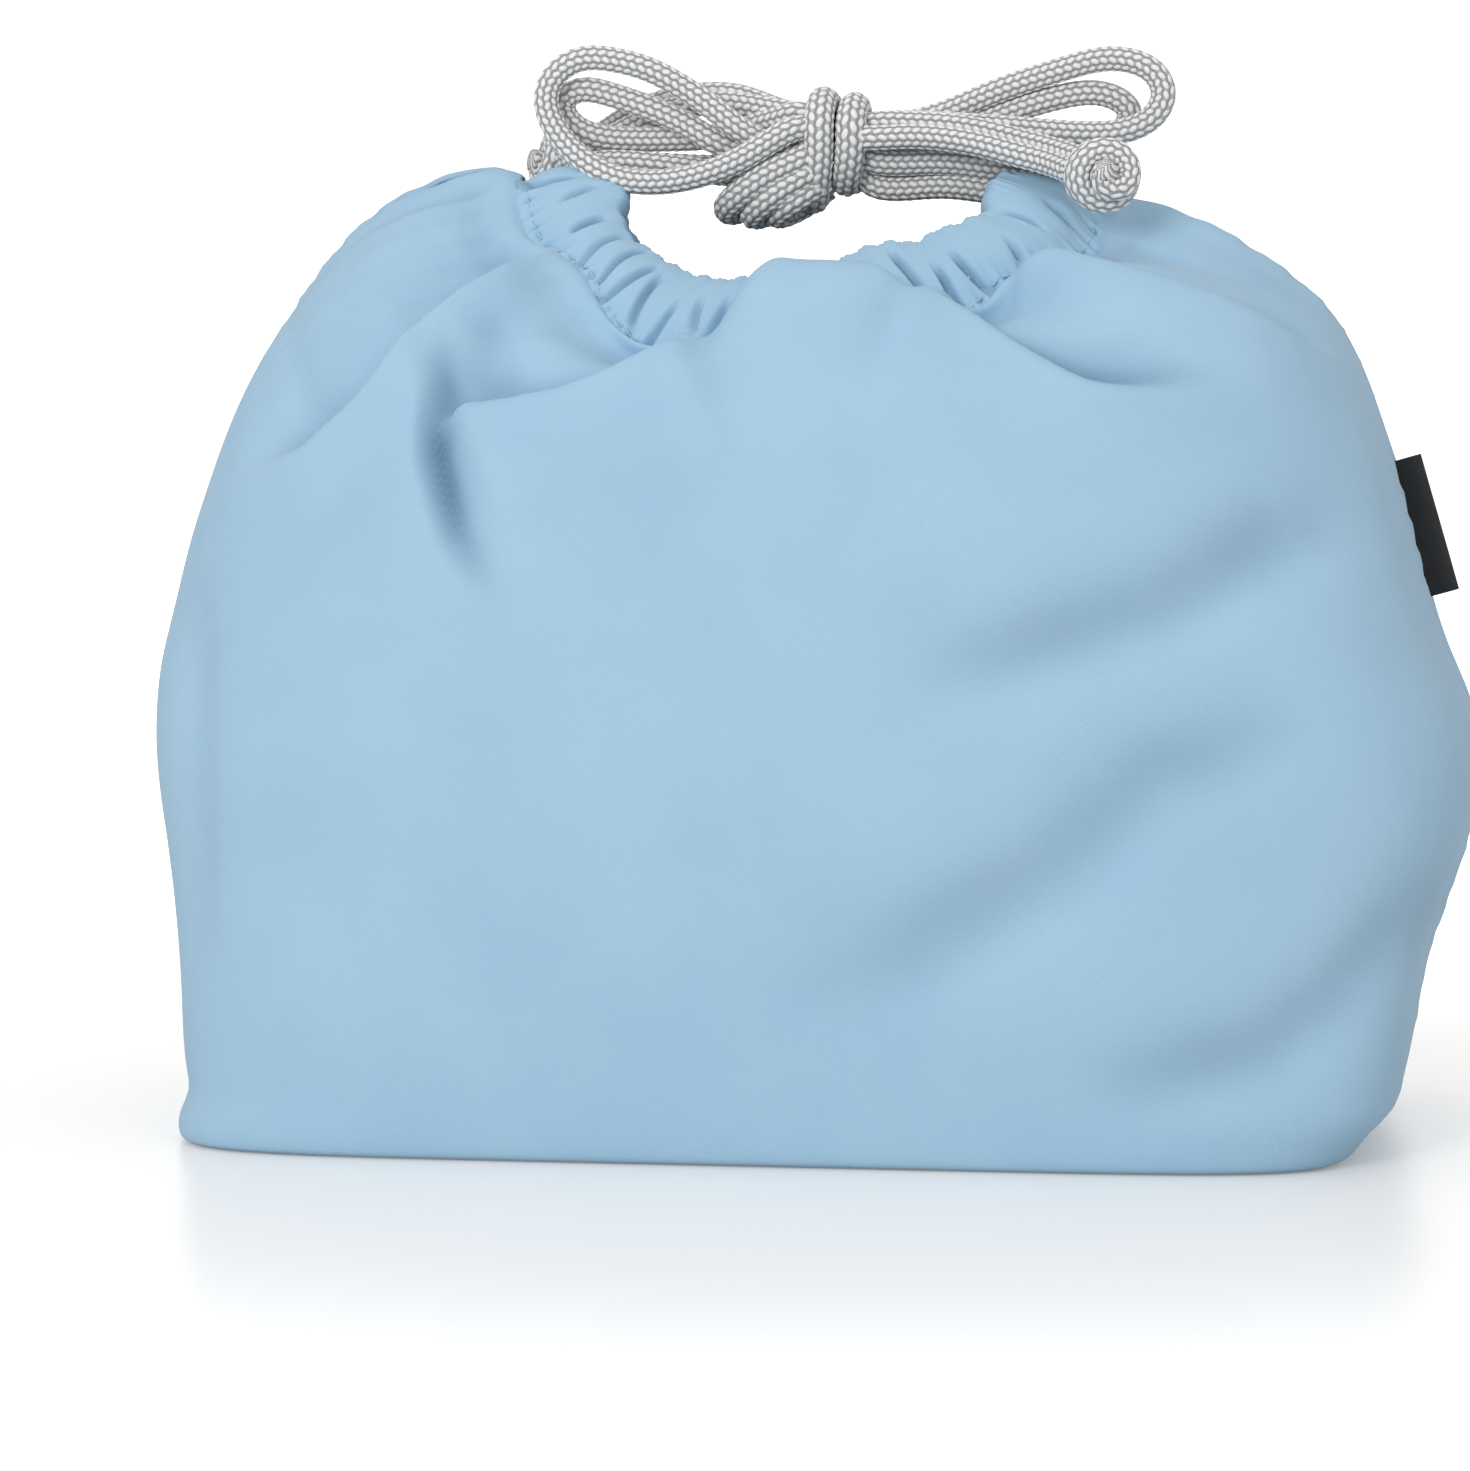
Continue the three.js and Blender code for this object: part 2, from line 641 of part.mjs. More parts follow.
function labelStrip(from, to, thickness) {
  const lean = labelTop.clone().sub(labelRoot).normalize();
  const out = new THREE.Vector2(lean.y, -lean.x);
  const corner = (along, clear) => [
    labelRoot.x + lean.x * along + out.x * clear,
    labelRoot.y + lean.y * along + out.y * clear,
  ];
  const shape = new THREE.Shape();
  shape.moveTo(...corner(0, from));
  shape.lineTo(...corner(0, to));
  shape.lineTo(...corner(labelHeight, to));
  shape.lineTo(...corner(labelHeight, from));
  shape.closePath();
  const strip = new THREE.ExtrudeGeometry(shape, { depth: thickness, bevelEnabled: false });
  strip.rotateX(turn / 4);
  strip.translate(0, thickness / 2, 0);
  return strip;
}

// The cloth bows out a little between the label's ends, and the label stands clear of that.
const bowOuts = sideProfile
  .filter((p) => p.y > labelFoot && p.y < labelHead)
  .map((p) => p.x - between(labelRoot.x, labelTop.x, (p.y - labelFoot) / labelHeight));
const labelClear = sewnGap + Math.max(0, ...bowOuts);

// Assembly
const bag = new THREE.Group();
bag.add(piece("front_panel", geometryOf(shell.intersect(halfSpace(-1))), "cloth"));
bag.add(piece("back_panel", geometryOf(shell.intersect(halfSpace(1))), "cloth"));
bag.add(piece("base_seam", baseSeam(), "lining"));
for (const [side, sign] of [["left", -1], ["right", 1]]) {
  bag.add(piece(`${side}_side_seam`, sideAllowance(sign), "lining"));
  bag.add(piece(`${side}_corner_seam`, cornerSeam(sign), "lining"));
}
bag.add(
  piece("label_stitching", labelStrip(labelClear, labelClear + labelStitchWidth, labelThickness), "thread"),
);
const labelStart = labelClear + labelStitchWidth + sewnGap;
bag.add(piece("side_label", labelStrip(labelStart, labelReach, labelThickness), "ribbon"));

for (const [lip, sign] of [["front", 1], ["back", -1]]) {
  const thread = circleOutline(threadSetback, threadOut, threadDiameter, 6);
  bag.add(piece(`${lip}_casing`, casing(sign), "cloth"));
  bag.add(piece(`${lip}_casing_stitching`, alongBand(thread, sign), "thread"));
  const lanes = [["left", innerLane], ["right", outerLane]];
  for (const [side, lane] of lanes) {
    const run = alongBand(circleOutline(lane, 0, cordDiameter, cordSides), sign);
    bag.add(piece(`${side}_cord_${lip}_run`, run, "braid"));
  }
}

const bow = new THREE.Group();
bow.position.copy(knotCentre);
for (const [name, points] of Object.entries(routes)) {
  bow.add(piece(name, strand(points), "braid"));
}
bow.add(piece("bow_knot_core", core(), "braid"));
bow.add(piece("bow_knot_left_wrap", wrap(-wrapPitch / 2), "braid"));
bow.add(piece("bow_knot_right_wrap", wrap(wrapPitch / 2), "braid"));
bow.add(piece("bow_knot_bight", bight(), "braid"));
bow.add(
  piece("left_stopper_knot", stopper(leftStopperPlace, new THREE.Vector3(-0.9, -0.4, 0.1)), "braid"),
);
bow.add(
  piece("right_stopper_knot", stopper(rightStopperPlace, new THREE.Vector3(0.35, -0.9, 0.1)), "braid"),
);
bag.add(bow);

export default bag;
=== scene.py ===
import math

import bmesh
import bpy
import numpy as np
from mathutils import Matrix, Vector


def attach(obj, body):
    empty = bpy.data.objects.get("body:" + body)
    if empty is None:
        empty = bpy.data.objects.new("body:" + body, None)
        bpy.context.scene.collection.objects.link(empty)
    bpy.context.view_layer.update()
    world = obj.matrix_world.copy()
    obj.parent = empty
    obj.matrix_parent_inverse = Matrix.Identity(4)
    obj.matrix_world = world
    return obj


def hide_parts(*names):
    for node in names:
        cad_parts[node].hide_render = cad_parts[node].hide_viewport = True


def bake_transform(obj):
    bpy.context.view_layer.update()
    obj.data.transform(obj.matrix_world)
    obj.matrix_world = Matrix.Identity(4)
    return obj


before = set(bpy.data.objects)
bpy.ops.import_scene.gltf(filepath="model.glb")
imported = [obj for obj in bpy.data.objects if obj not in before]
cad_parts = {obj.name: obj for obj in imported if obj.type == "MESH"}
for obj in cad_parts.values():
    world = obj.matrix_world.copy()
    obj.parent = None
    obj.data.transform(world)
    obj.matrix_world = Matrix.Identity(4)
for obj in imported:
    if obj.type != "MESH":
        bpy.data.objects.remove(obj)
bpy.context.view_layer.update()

# The camera: a long lens a little above the rim, to the right of the middle, so that the right side
# seam shows and both lips of the mouth lie at one height.
camera_place = Vector((0.1321, -1.0317, 0.1599))
camera_target = Vector((-0.01345, 0.00415, 0.06839))
camera = bpy.data.objects.new("camera", bpy.data.cameras.new("camera"))
camera.data.sensor_width = 36
camera.data.lens = 143.3
camera.location = camera_place
camera.rotation_euler = (camera_target - camera_place).to_track_quat("-Z", "Y").to_euler()
camera.data.clip_start = 0.01
camera.data.clip_end = 20
bpy.context.scene.collection.objects.link(camera)
bpy.context.scene.camera = camera

# The cords of the bow: a soft round polyester braid, white and light grey, 4.6 mm thick. Every second
# carrier of one lay is white, so white picks stand in staggered rows on the grey.
# Two cords, each doubled back on itself, are tied together in a bow with doubled loops and tails.
CORD_DIAMETER = 0.0046
CORD_SPACING = 0.0002
CORD_SIDES = 48
CARRIERS = 10
PICK_LENGTH = 0.00082
PICK_RELIEF = 0.00026
ROW_WIDTH = 1.445
PICK_LEAN = 0.7
# White and grey picks: place along the lay, half length and half width in millimetres, and height.
PICKS = ((1, 0.8, 0.52, 1.0), (0, 0.58, 0.42, 0.7))
WHITE_YARN = (0.9, 0.9, 0.89, 1)
GREY_YARN = (0.52, 0.52, 0.515, 1)
KNOT = np.array((5.8, 0.0, 175.0))


def walked_along(line):
    """The way walked along a line of points, up to each of them."""
    return np.concatenate([[0], np.cumsum(np.linalg.norm(np.diff(line, axis=0), axis=1))])


def smooth_line(route, spacing):
    """A natural spline through a few points, given back as points at an even spacing."""
    points = np.array(route, float)
    chord = np.linalg.norm(np.diff(points, axis=0), axis=1) ** 0.5
    knots = np.concatenate([[0], np.cumsum(chord)])
    count = len(points)
    matrix = np.eye(count)
    right = np.zeros((count, 3))
    for i in range(1, count - 1):
        before = knots[i] - knots[i - 1]
        after = knots[i + 1] - knots[i]
        matrix[i, i - 1 : i + 2] = before, 2 * (before + after), after
        right[i] = 6 * ((points[i + 1] - points[i]) / after - (points[i] - points[i - 1]) / before)
    bend = np.linalg.solve(matrix, right)
    at = np.linspace(0, knots[-1], 60 * count)
    seg = np.clip(np.searchsorted(knots, at, "right") - 1, 0, count - 2)
    gap = (knots[seg + 1] - knots[seg])[:, None]
    x0 = (at - knots[seg])[:, None]
    x1 = (knots[seg + 1] - at)[:, None]
    line = (
        (bend[seg] * x1**3 + bend[seg + 1] * x0**3) / (6 * gap)
        + (points[seg] / gap - bend[seg] * gap / 6) * x1
        + (points[seg + 1] / gap - bend[seg + 1] * gap / 6) * x0
    )
    walked = walked_along(line)
    steps = max(3, int(round(walked[-1] / spacing)))
    even = np.linspace(0, walked[-1], steps + 1)
    return np.stack([np.interp(even, walked, line[:, k]) for k in range(3)], axis=1)


def smooth_step(value, low, high):
    share = np.clip((value - low) / (high - low), 0, 1)
    return share * share * (3 - 2 * share)


def carried_frames(line):
    """Direction of a line at each point, and two ways across it that don't twist."""
    tangent = np.gradient(line, axis=0)
    tangent /= np.linalg.norm(tangent, axis=1)[:, None]
    seed = np.array((0.0, 0.0, 1.0)) if abs(tangent[0][2]) < 0.8 else np.array((0.0, 1.0, 0.0))
    across = np.zeros_like(line)
    last = seed
    for i, direction in enumerate(tangent):
        last = last - direction * last.dot(direction)
        last = last / np.linalg.norm(last)
        across[i] = last
    return tangent, across, np.cross(tangent, across)


def pick_height(turn_share, picks):
    """Height of the braid's picks, from 0 in a groove to 1: ovals in staggered rows round the cord."""
    row = CARRIERS * turn_share - 0.5
    nearest = np.rint(row)
    across = (row - nearest) * ROW_WIDTH
    lean = 1 - 2 * (nearest % 2)
    height = np.zeros_like(row)
    for offset, half_long, half_wide, top in PICKS:
        along = ((picks - nearest + offset) % 2 - 1) * PICK_LENGTH * 1000
        turned = along * math.cos(PICK_LEAN) + lean * across * math.sin(PICK_LEAN)
        risen = across * math.cos(PICK_LEAN) - lean * along * math.sin(PICK_LEAN)
        bulge = np.sqrt(np.clip(1 - (turned / half_long) ** 2 - (risen / half_wide) ** 2, 0, 1)) * top
        height = np.maximum(height, bulge)
    return height


def close_roll(shape, gap, cap_ends=True):
    """Joins a rolled-up grid along its edges, caps its ends and turns its faces outwards."""
    bmesh.ops.remove_doubles(shape, verts=shape.verts, dist=gap)
    if cap_ends:
        bmesh.ops.holes_fill(shape, edges=[edge for edge in shape.edges if edge.is_boundary], sides=0)
    bmesh.ops.recalc_face_normals(shape, faces=shape.faces)


def new_piece(name, shape):
    """An object at the origin, smooth shaded, from a finished bmesh."""
    mesh = bpy.data.meshes.new(name)
    shape.to_mesh(mesh)
    shape.free()
    mesh.shade_smooth()
    piece = bpy.data.objects.new(name, mesh)
    bpy.context.scene.collection.objects.link(piece)
    return piece


def braided_tubes(name, lines, diameter=CORD_DIAMETER, around=CORD_SIDES):
    """Cord along each line, with the braid's picks in relief and UVs in turns and picks."""
    shape = bmesh.new()
    shape.loops.layers.uv.new("braid")
    for line in lines:
        rings = len(line) - 1
        start = len(shape.verts)
        bmesh.ops.create_grid(shape, x_segments=around, y_segments=rings, size=0.5)
        shape.verts.ensure_lookup_table()
        made = shape.verts[start:]
        place = np.array([v.co for v in made])
        turn_share = place[:, 0] + 0.5
        row = np.rint((place[:, 1] + 0.5) * rings).astype(int)
        tangent, across, beside = carried_frames(line)
        picks = walked_along(line)[row] / PICK_LENGTH
        reach = diameter / 2 - PICK_RELIEF * (1 - pick_height(turn_share, picks))
        angle = 2 * math.pi * turn_share
        out = across[row] * np.cos(angle)[:, None] + beside[row] * np.sin(angle)[:, None]
        spot = line[row] + out * reach[:, None]
        uv = shape.loops.layers.uv["braid"]
        for vert, co, share, far in zip(made, spot, turn_share, picks):
            vert.co = co
            for loop in vert.link_loops:
                loop[uv].uv = (share, far)
    close_roll(shape, 2e-6)
    return new_piece(name, shape)


def add_node(tree, kind, values=None, **settings):
    """A shader node: its settings by name, and its inputs, each a constant or the output that feeds it."""
    node = tree.nodes.new(kind)
    for name, setting in settings.items():
        setattr(node, name, setting)
    for socket, value in (values or {}).items():
        if isinstance(value, bpy.types.NodeSocket):
            tree.links.new(value, node.inputs[socket])
        else:
            node.inputs[socket].default_value = value
    return node


def new_group(name, inputs, outputs):
    """An empty node group with its sockets: the group, what comes in, and its output node."""
    group = bpy.data.node_groups.new(name, "ShaderNodeTree")
    for way, sockets in (("INPUT", inputs), ("OUTPUT", outputs)):
        for socket, kind in sockets.items():
            group.interface.new_socket(socket, in_out=way, socket_type=kind)
    return group, group.nodes.new("NodeGroupInput").outputs, group.nodes.new("NodeGroupOutput")


def braid_pattern():
    """Node group: UV in turns and picks to a colour of the two yarns with painted shade between the picks, and a
    height of the picks.
    """
    group, given, sink = new_group(
        "braid_pattern",
        {
            "UV": "NodeSocketVector", "White yarn": "NodeSocketColor", "Grey yarn": "NodeSocketColor",
            "Carriers": "NodeSocketFloat",
        },
        {"Color": "NodeSocketColor", "Height": "NodeSocketFloat"},
    )

    def maths(operation, *values):
        return add_node(group, "ShaderNodeMath", dict(enumerate(values)), operation=operation).outputs[0]

    split = add_node(group, "ShaderNodeSeparateXYZ", {0: given["UV"]})
    row = maths("SUBTRACT", maths("MULTIPLY", split.outputs[0], given["Carriers"]), 0.5)
    nearest = maths("ROUND", row)
    across = maths("MULTIPLY", maths("SUBTRACT", row, nearest), ROW_WIDTH)
    lean = maths("SUBTRACT", 1, maths("MULTIPLY", maths("FLOORED_MODULO", nearest, 2), 2))
    tops = []
    filaments = []
    for offset, half_long, half_wide, top in PICKS:
        shifted = maths("ADD", maths("SUBTRACT", split.outputs[1], nearest), offset)
        along = maths("MULTIPLY", maths("SUBTRACT", maths("FLOORED_MODULO", shifted, 2), 1), PICK_LENGTH * 1000)
        turned = maths(
            "ADD",
            maths("MULTIPLY", along, math.cos(PICK_LEAN)),
            maths("MULTIPLY", maths("MULTIPLY", lean, across), math.sin(PICK_LEAN)),
        )
        risen = maths(
            "SUBTRACT",
            maths("MULTIPLY", across, math.cos(PICK_LEAN)),
            maths("MULTIPLY", maths("MULTIPLY", lean, along), math.sin(PICK_LEAN)),
        )
        reach = maths("ADD", *(
            maths("POWER", maths("ABSOLUTE", maths("DIVIDE", way, half)), 2)
            for way, half in ((turned, half_long), (risen, half_wide))
        ))
        bulge = maths("SQRT", maths("MAXIMUM", maths("SUBTRACT", 1, reach), 0))
        tops.append(maths("MULTIPLY", bulge, top))
        filaments.append(maths("MULTIPLY", maths("SINE", maths("MULTIPLY", risen, 30)), bulge))
    pillow = maths("MAXIMUM", *tops)
    strand = maths("MULTIPLY", maths("ADD", *filaments), 0.12)
    group.links.new(maths("ADD", pillow, strand), sink.inputs["Height"])
    white_edge = add_node(
        group, "ShaderNodeMapRange", {"Value": tops[0], "From Min": 0.25, "From Max": 0.55},
        interpolation_type="SMOOTHSTEP",
    )
    yarn = add_node(
        group, "ShaderNodeMix",
        {"Factor": white_edge.outputs[0], "A": given["Grey yarn"], "B": given["White yarn"]},
        data_type="RGBA",
    )
    # Painted shade: the yarn is darker in the grooves between the picks, where the relief is low.
    shade = add_node(
        group, "ShaderNodeMapRange",
        {"Value": pillow, "From Min": 0, "From Max": 0.75, "To Min": 0.6, "To Max": 1},
    )
    dim = add_node(
        group, "ShaderNodeVectorMath", {0: yarn.outputs["Result"], "Scale": shade.outputs[0]}, operation="SCALE"
    )
    group.links.new(dim.outputs[0], sink.inputs["Color"])
    return group


def new_material(name, roughness, sheen=0.0, specular=0.35):
    """A material with its node tree and the sockets of its shader."""
    material = bpy.data.materials.new(name)
    material.use_nodes = True
    shader = material.node_tree.nodes["Principled BSDF"].inputs
    shader["Roughness"].default_value = roughness
    shader["Specular IOR Level"].default_value = specular
    shader["Sheen Weight"].default_value = sheen
    return material, material.node_tree, shader


def raise_grain(tree, shader, height, strength, distance):
    bump = add_node(tree, "ShaderNodeBump", {"Strength": strength, "Distance": distance, "Height": height})
    tree.links.new(bump.outputs[0], shader["Normal"])


cord_material, tree, shader = new_material("braided_polyester", 0.62, 0.15)
braid_uv = add_node(tree, "ShaderNodeUVMap", uv_map="braid")
braid = add_node(
    tree, "ShaderNodeGroup",
    {"UV": braid_uv.outputs[0], "White yarn": WHITE_YARN, "Grey yarn": GREY_YARN, "Carriers": CARRIERS},
    node_tree=braid_pattern(),
)
tree.links.new(braid.outputs["Color"], shader["Base Color"])
raise_grain(tree, shader, braid.outputs["Height"], 0.5, 0.00015)

# Where each strand runs, from the middle of the knot, in millimetres. The points are set to follow the
# photograph, and each end at the knot dives under the wraps.
ROUTES = {
    "left_loop_outer": [
        (-2.6, -2.6, 0.6), (-6.2, -6.5, 1.6), (-10, -8, 0), (-16.5, -8.8, -3.9), (-25, -8.8, -7),
        (-32, -8.6, -7.9), (-38.5, -8.2, -7.1), (-44.6, -7.4, -4), (-49, -6.4, 0.2), (-51.4, -5.6, 5),
        (-51.2, -5.2, 9), (-48.8, -5, 12.2), (-44.8, -4.8, 13.9), (-39.4, -4.6, 13.6),
        (-33.6, -4.4, 12), (-28.3, -4, 9.3), (-22.5, -3.6, 5.4), (-17, -3.2, 1.2), (-11, -1.6, -1.4),
        (-6.2, -0.5, -1.2), (-2.6, -0.4, -0.6),
    ],
    "left_loop_inner": [
        (-2.6, -1, 2), (-6.2, -2, 4), (-10.6, 0.3, 3.4), (-16, 3, 2), (-22, 3, 0.4), (-31, 2.2, -0.2),
        (-38.6, 1.6, -0.2), (-44.4, 0.6, 0.6), (-48.4, 0.2, 3), (-49.4, 0, 6.2), (-46.4, -0.6, 8.4),
        (-40, -1, 7.4), (-33, -1.4, 5), (-27, -1.2, 2.2), (-21.4, -1, -1), (-16, 1.4, -2.2),
        (-11, 4, -1), (-6.2, 4.6, -0.2), (-2.6, 2.4, 0),
    ],
    "left_tail_upper": [
        (-2.6, 2.6, 2), (-6.2, 7, 3.4), (-12, 9.2, 5), (-19, 10.2, 7.4), (-26, 10.2, 7.8),
        (-33, 11, 6.6), (-39.6, 14, 4.2), (-45, 18.8, 1.4), (-49.9, 23.2, -0.8),
    ],
    "left_tail_lower": [
        (-2.6, 0.6, 2.4), (-6.2, 2.6, 3.8), (-12, 4.6, 4.8), (-19, 5.6, 6), (-26, 5.6, 6),
        (-33, 6, 4.4), (-38.6, 8.4, 2), (-44.6, 12.4, -0.6), (-49.6, 16.6, -2.8), (-52.3, 19.7, -3.8),
    ],
    "right_loop_outer": [
        (2.6, 2.6, 1.2), (6.3, 6.3, 1.8), (13.2, 6.4, 3), (20, 6.2, 5.2), (27, 6, 8.1), (34, 5.8, 10.5),
        (40, 5.4, 12.3), (45.4, 5, 13.6), (50.4, 4.6, 13.5), (54.8, 4.2, 11.6), (56.8, 3.8, 7.9), (55.4, 3, 4),
        (51.2, 2.2, 1.4), (45.4, 2, 0.6), (38, 2, 0.9), (28.5, 2.2, 1.7), (17.5, 2.4, 2.4), (6.3, 2.2, 2.4),
        (2.6, 1, 1.2),
    ],
    "right_loop_inner": [
        (2.6, 3, -0.8), (6.3, 6.8, -2.6), (13, 6.8, -1.7), (20, 6.6, 0.7), (27, 6.8, 3.5), (33, 6.9, 5.7),
        (39, 7.2, 7.3), (44, 7.6, 7.9), (48.4, 8, 6.8), (50.6, 8.2, 4.2), (48.8, 8, 0.8), (43.6, 7, -1.8),
        (36, 6, -3), (26, 4.8, -3), (16, 3.4, -2.4), (6.3, 2.6, -2.2), (2.6, 1.6, -1),
    ],
    "right_tail_front": [
        (2.6, -2.8, 0.2), (6.3, -6.8, -0.2), (13, -7.4, 0), (19.6, -7.8, -0.4), (26, -8.6, -1.5),
        (32.6, -10.4, -3.2), (38, -12.6, -4.6), (42.4, -17.6, -6.2),
    ],
    "right_tail_back": [
        (2.6, -1, 1.2), (6.3, -2.4, 2.3), (13, -2.9, 2.3), (19.6, -3.1, 1.9), (26, -3.6, 0.9), (32.6, -5, -0.8),
        (38, -7.6, -2.2), (42.6, -11.8, -3.6), (45, -14.4, -4.4),
    ],
    "left_leg_front": [
        (-46, -11, -12.6), (-47.4, -7.5, -10.2), (-47.6, -4.4, -7.6), (-45, -2.4, -5), (-33, -2.4, -4.8),
        (-22, 0.1, -6.2), (-14, 0.2, -7), (-6.2, -0.6, -7.4), (-2.6, -0.6, -3.6),
    ],
    "left_leg_back": [
        (-46, 11, -13), (-47.4, 7.5, -10.4), (-47.6, 4.4, -7.6), (-45, 2.4, -5), (-33, 2.4, -4.8),
        (-22, 4.6, -5.2), (-14, 4.6, -5.2), (-6.2, 4, -4.4), (-2.6, 2.4, -2.4),
    ],
    "right_leg_upper": [
        (2.6, -1, -2), (6.3, -2.2, -4.2), (17, -1.6, -4.4), (26, -0.8, -5.2), (35, -0.4, -6.2),
        (38.6, -1.8, -7), (39.6, -5, -9.4), (38, -9, -12.6),
    ],
    "right_leg_lower": [
        (2.6, 0, -3.8), (6.3, 0, -8.4), (17, 0, -8.6), (26, 0, -9.4), (33, 0.6, -10.2), (37.4, 2.4, -10.6),
        (39.4, 5.6, -11.4), (38, 9.6, -13.2),
    ],
}


def from_knot(points):
    return (np.array(points, float) + KNOT) / 1000


# Each strand as a braided cord along its route, in place of the part's own strand. A leg comes out of
# the casing's end and runs up to the knot.
for strand_name, route in ROUTES.items():
    line = smooth_line(from_knot(route), CORD_SPACING)
    piece = braided_tubes(strand_name + "_cord", [line])
    piece.data.materials.append(cord_material)
    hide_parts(strand_name)
    side = -1 if strand_name.startswith("left") else 1
    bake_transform(piece)

# The knot of the bow: the left cord wrapped twice round all the strands, its end laid back under
# them as a low bight of three strands.
WRAP_RADIUS = 6.9
WRAP_DIAMETER = 0.0054
BIGHT_DIAMETER = 0.0050
WRAP_STEPS = 72
wrap_turn = []
for step in range(WRAP_STEPS + 1):
    degrees = -80 + 620 * step / WRAP_STEPS
    angle = math.radians(degrees)
    passed = smooth_step(degrees, 175, 365)
    low = smooth_step(degrees % 360, 95, 180) if degrees % 360 < 200 else 0
    upright = 5.2 + 1.0 * passed if math.cos(angle) > 0 else 8.0 + 3.0 * passed
    wrap_turn.append((
        2.75 - 5.6 * passed - 1.5 * low,
        -WRAP_RADIUS * math.sin(angle),
        upright * math.cos(angle) + 0.2,
    ))
BIGHT_STRANDS = [
    [
        (-2.6, -4.2, -1.6), (-5.6, -6.4, -3.6), (-9.9, -7.4, -5.6), (-13.6, -7.6, -7.7), (-17, -6.6, -10),
        (-19.4, -4, -12), (-19.4, -0.4, -13), (-17.2, 3.4, -12.2), (-12.6, 5.4, -9.8), (-7, 5.4, -7.4),
        (-2.6, 4, -5),
    ],
    [
        (-2.6, -4, -5), (-5.6, -6.4, -7), (-9.4, -7.2, -9.2), (-12.6, -6.6, -11.4), (-14.8, -4.2, -13.2),
        (-14.8, -1, -13.8), (-13, 2, -13.2), (-9.4, 4, -11.6), (-5.8, 4.6, -9.8), (-2.6, 4.2, -7.6),
    ],
    [
        (-2.6, -3.4, -8), (-5.4, -5.6, -9.8), (-8.2, -5.8, -11.6), (-10.4, -4, -13), (-10.8, -1.4, -13.6),
        (-9.2, 1.2, -13.2), (-6, 2.6, -11.4), (-2.6, 2.6, -8.8),
    ],
]
knot_wraps = braided_tubes("knot_wraps", [smooth_line(from_knot(wrap_turn), CORD_SPACING)], WRAP_DIAMETER)
knot_bight = braided_tubes(
    "knot_bight", [smooth_line(from_knot(points), CORD_SPACING) for points in BIGHT_STRANDS], BIGHT_DIAMETER
)
for piece, nodes_replaced in (
    (knot_wraps, ("bow_knot_left_wrap", "bow_knot_right_wrap", "bow_knot_core")),
    (knot_bight, ("bow_knot_bight",)),
):
    piece.data.materials.append(cord_material)
    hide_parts(*nodes_replaced)
    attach(piece, "bow")

# The stoppers: each pair of tails is tied over itself in a tight round knot that can't slip back
# into the casing, and its cut, heat-sealed end shows in the middle.
# A turn of the cord in a stopper: distance from its middle line, place along it, and degrees round it.
STOPPER_TURNS = (
    (3.2, -4.0, 250), (4.2, -3.2, 205), (4.4, -2.6, 160), (4.4, -2.3, 115), (4.4, -2.0, 70),
    (4.4, -1.7, 25), (4.4, -1.4, -20), (4.4, -1.1, -65), (4.4, -0.7, -110), (4.4, -0.2, -155),
    (4.3, 0.4, -200), (4.2, 1.0, -245), (4.0, 1.6, -290), (3.8, 2.1, -335), (3.5, 2.5, -380),
    (2.9, 2.8, -425), (1.9, 3.0, -475), (1.0, 3.7, -530), (0.9, 5.0, -545),
)
# Each stopper's middle from the middle of the knot, the way its end faces, and the body it swings with.
STOPPERS = {
    "left_stopper_knot": ((-54.8, 26, -4.6), (-0.85, -0.5, 0.15), "left_tail"),
    "right_stopper_knot": ((48.4, -19.6, -6.8), (0.3, -0.93, 0.1), "right_tail"),
}


def stopper_line(centre, facing):
    """The cord's way through a stopper knot, in millimetres."""
    outwards = Vector(facing).normalized()
    beside = outwards.cross(Vector((0, 0, 1))).normalized() * -1
    upright = beside.cross(outwards).normalized() * -1
    if upright.z < 0:
        upright.negate()
    line = []
    for radius, depth, degrees in STOPPER_TURNS:
        angle = math.radians(degrees)
        spot = beside * (radius * math.cos(angle)) + upright * (radius * math.sin(angle)) + outwards * depth
        line.append(tuple(spot + Vector(centre)))
    return line


for stopper_name, (centre, facing, body) in STOPPERS.items():
    stopper = braided_tubes(
        stopper_name + "_tied", [smooth_line(from_knot(stopper_line(centre, facing)), CORD_SPACING)]
    )
    stopper.data.materials.append(cord_material)
    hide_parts(stopper_name)
    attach(stopper, body)

# The cloth: a thin polyester with a soft-touch finish, pale blue and matt, woven with a very fine
# diagonal grain. Its colour is darkened deep in its folds, as painted shade.
CLOTH_BLUE = (0.392, 0.597, 0.768, 1)
CLOTH_BLUE_WORN = (0.365, 0.57, 0.745, 1)
# Painted shade: the tint that deep folds and casing creases are multiplied towards.
PAINTED_FOLD_SHADE = (0.42, 0.47, 0.52, 1)
GRAIN_PITCH = 0.00042
# A wave texture of this scale has bands one metre apart.
WAVE_METRE = 2 * math.pi / 20


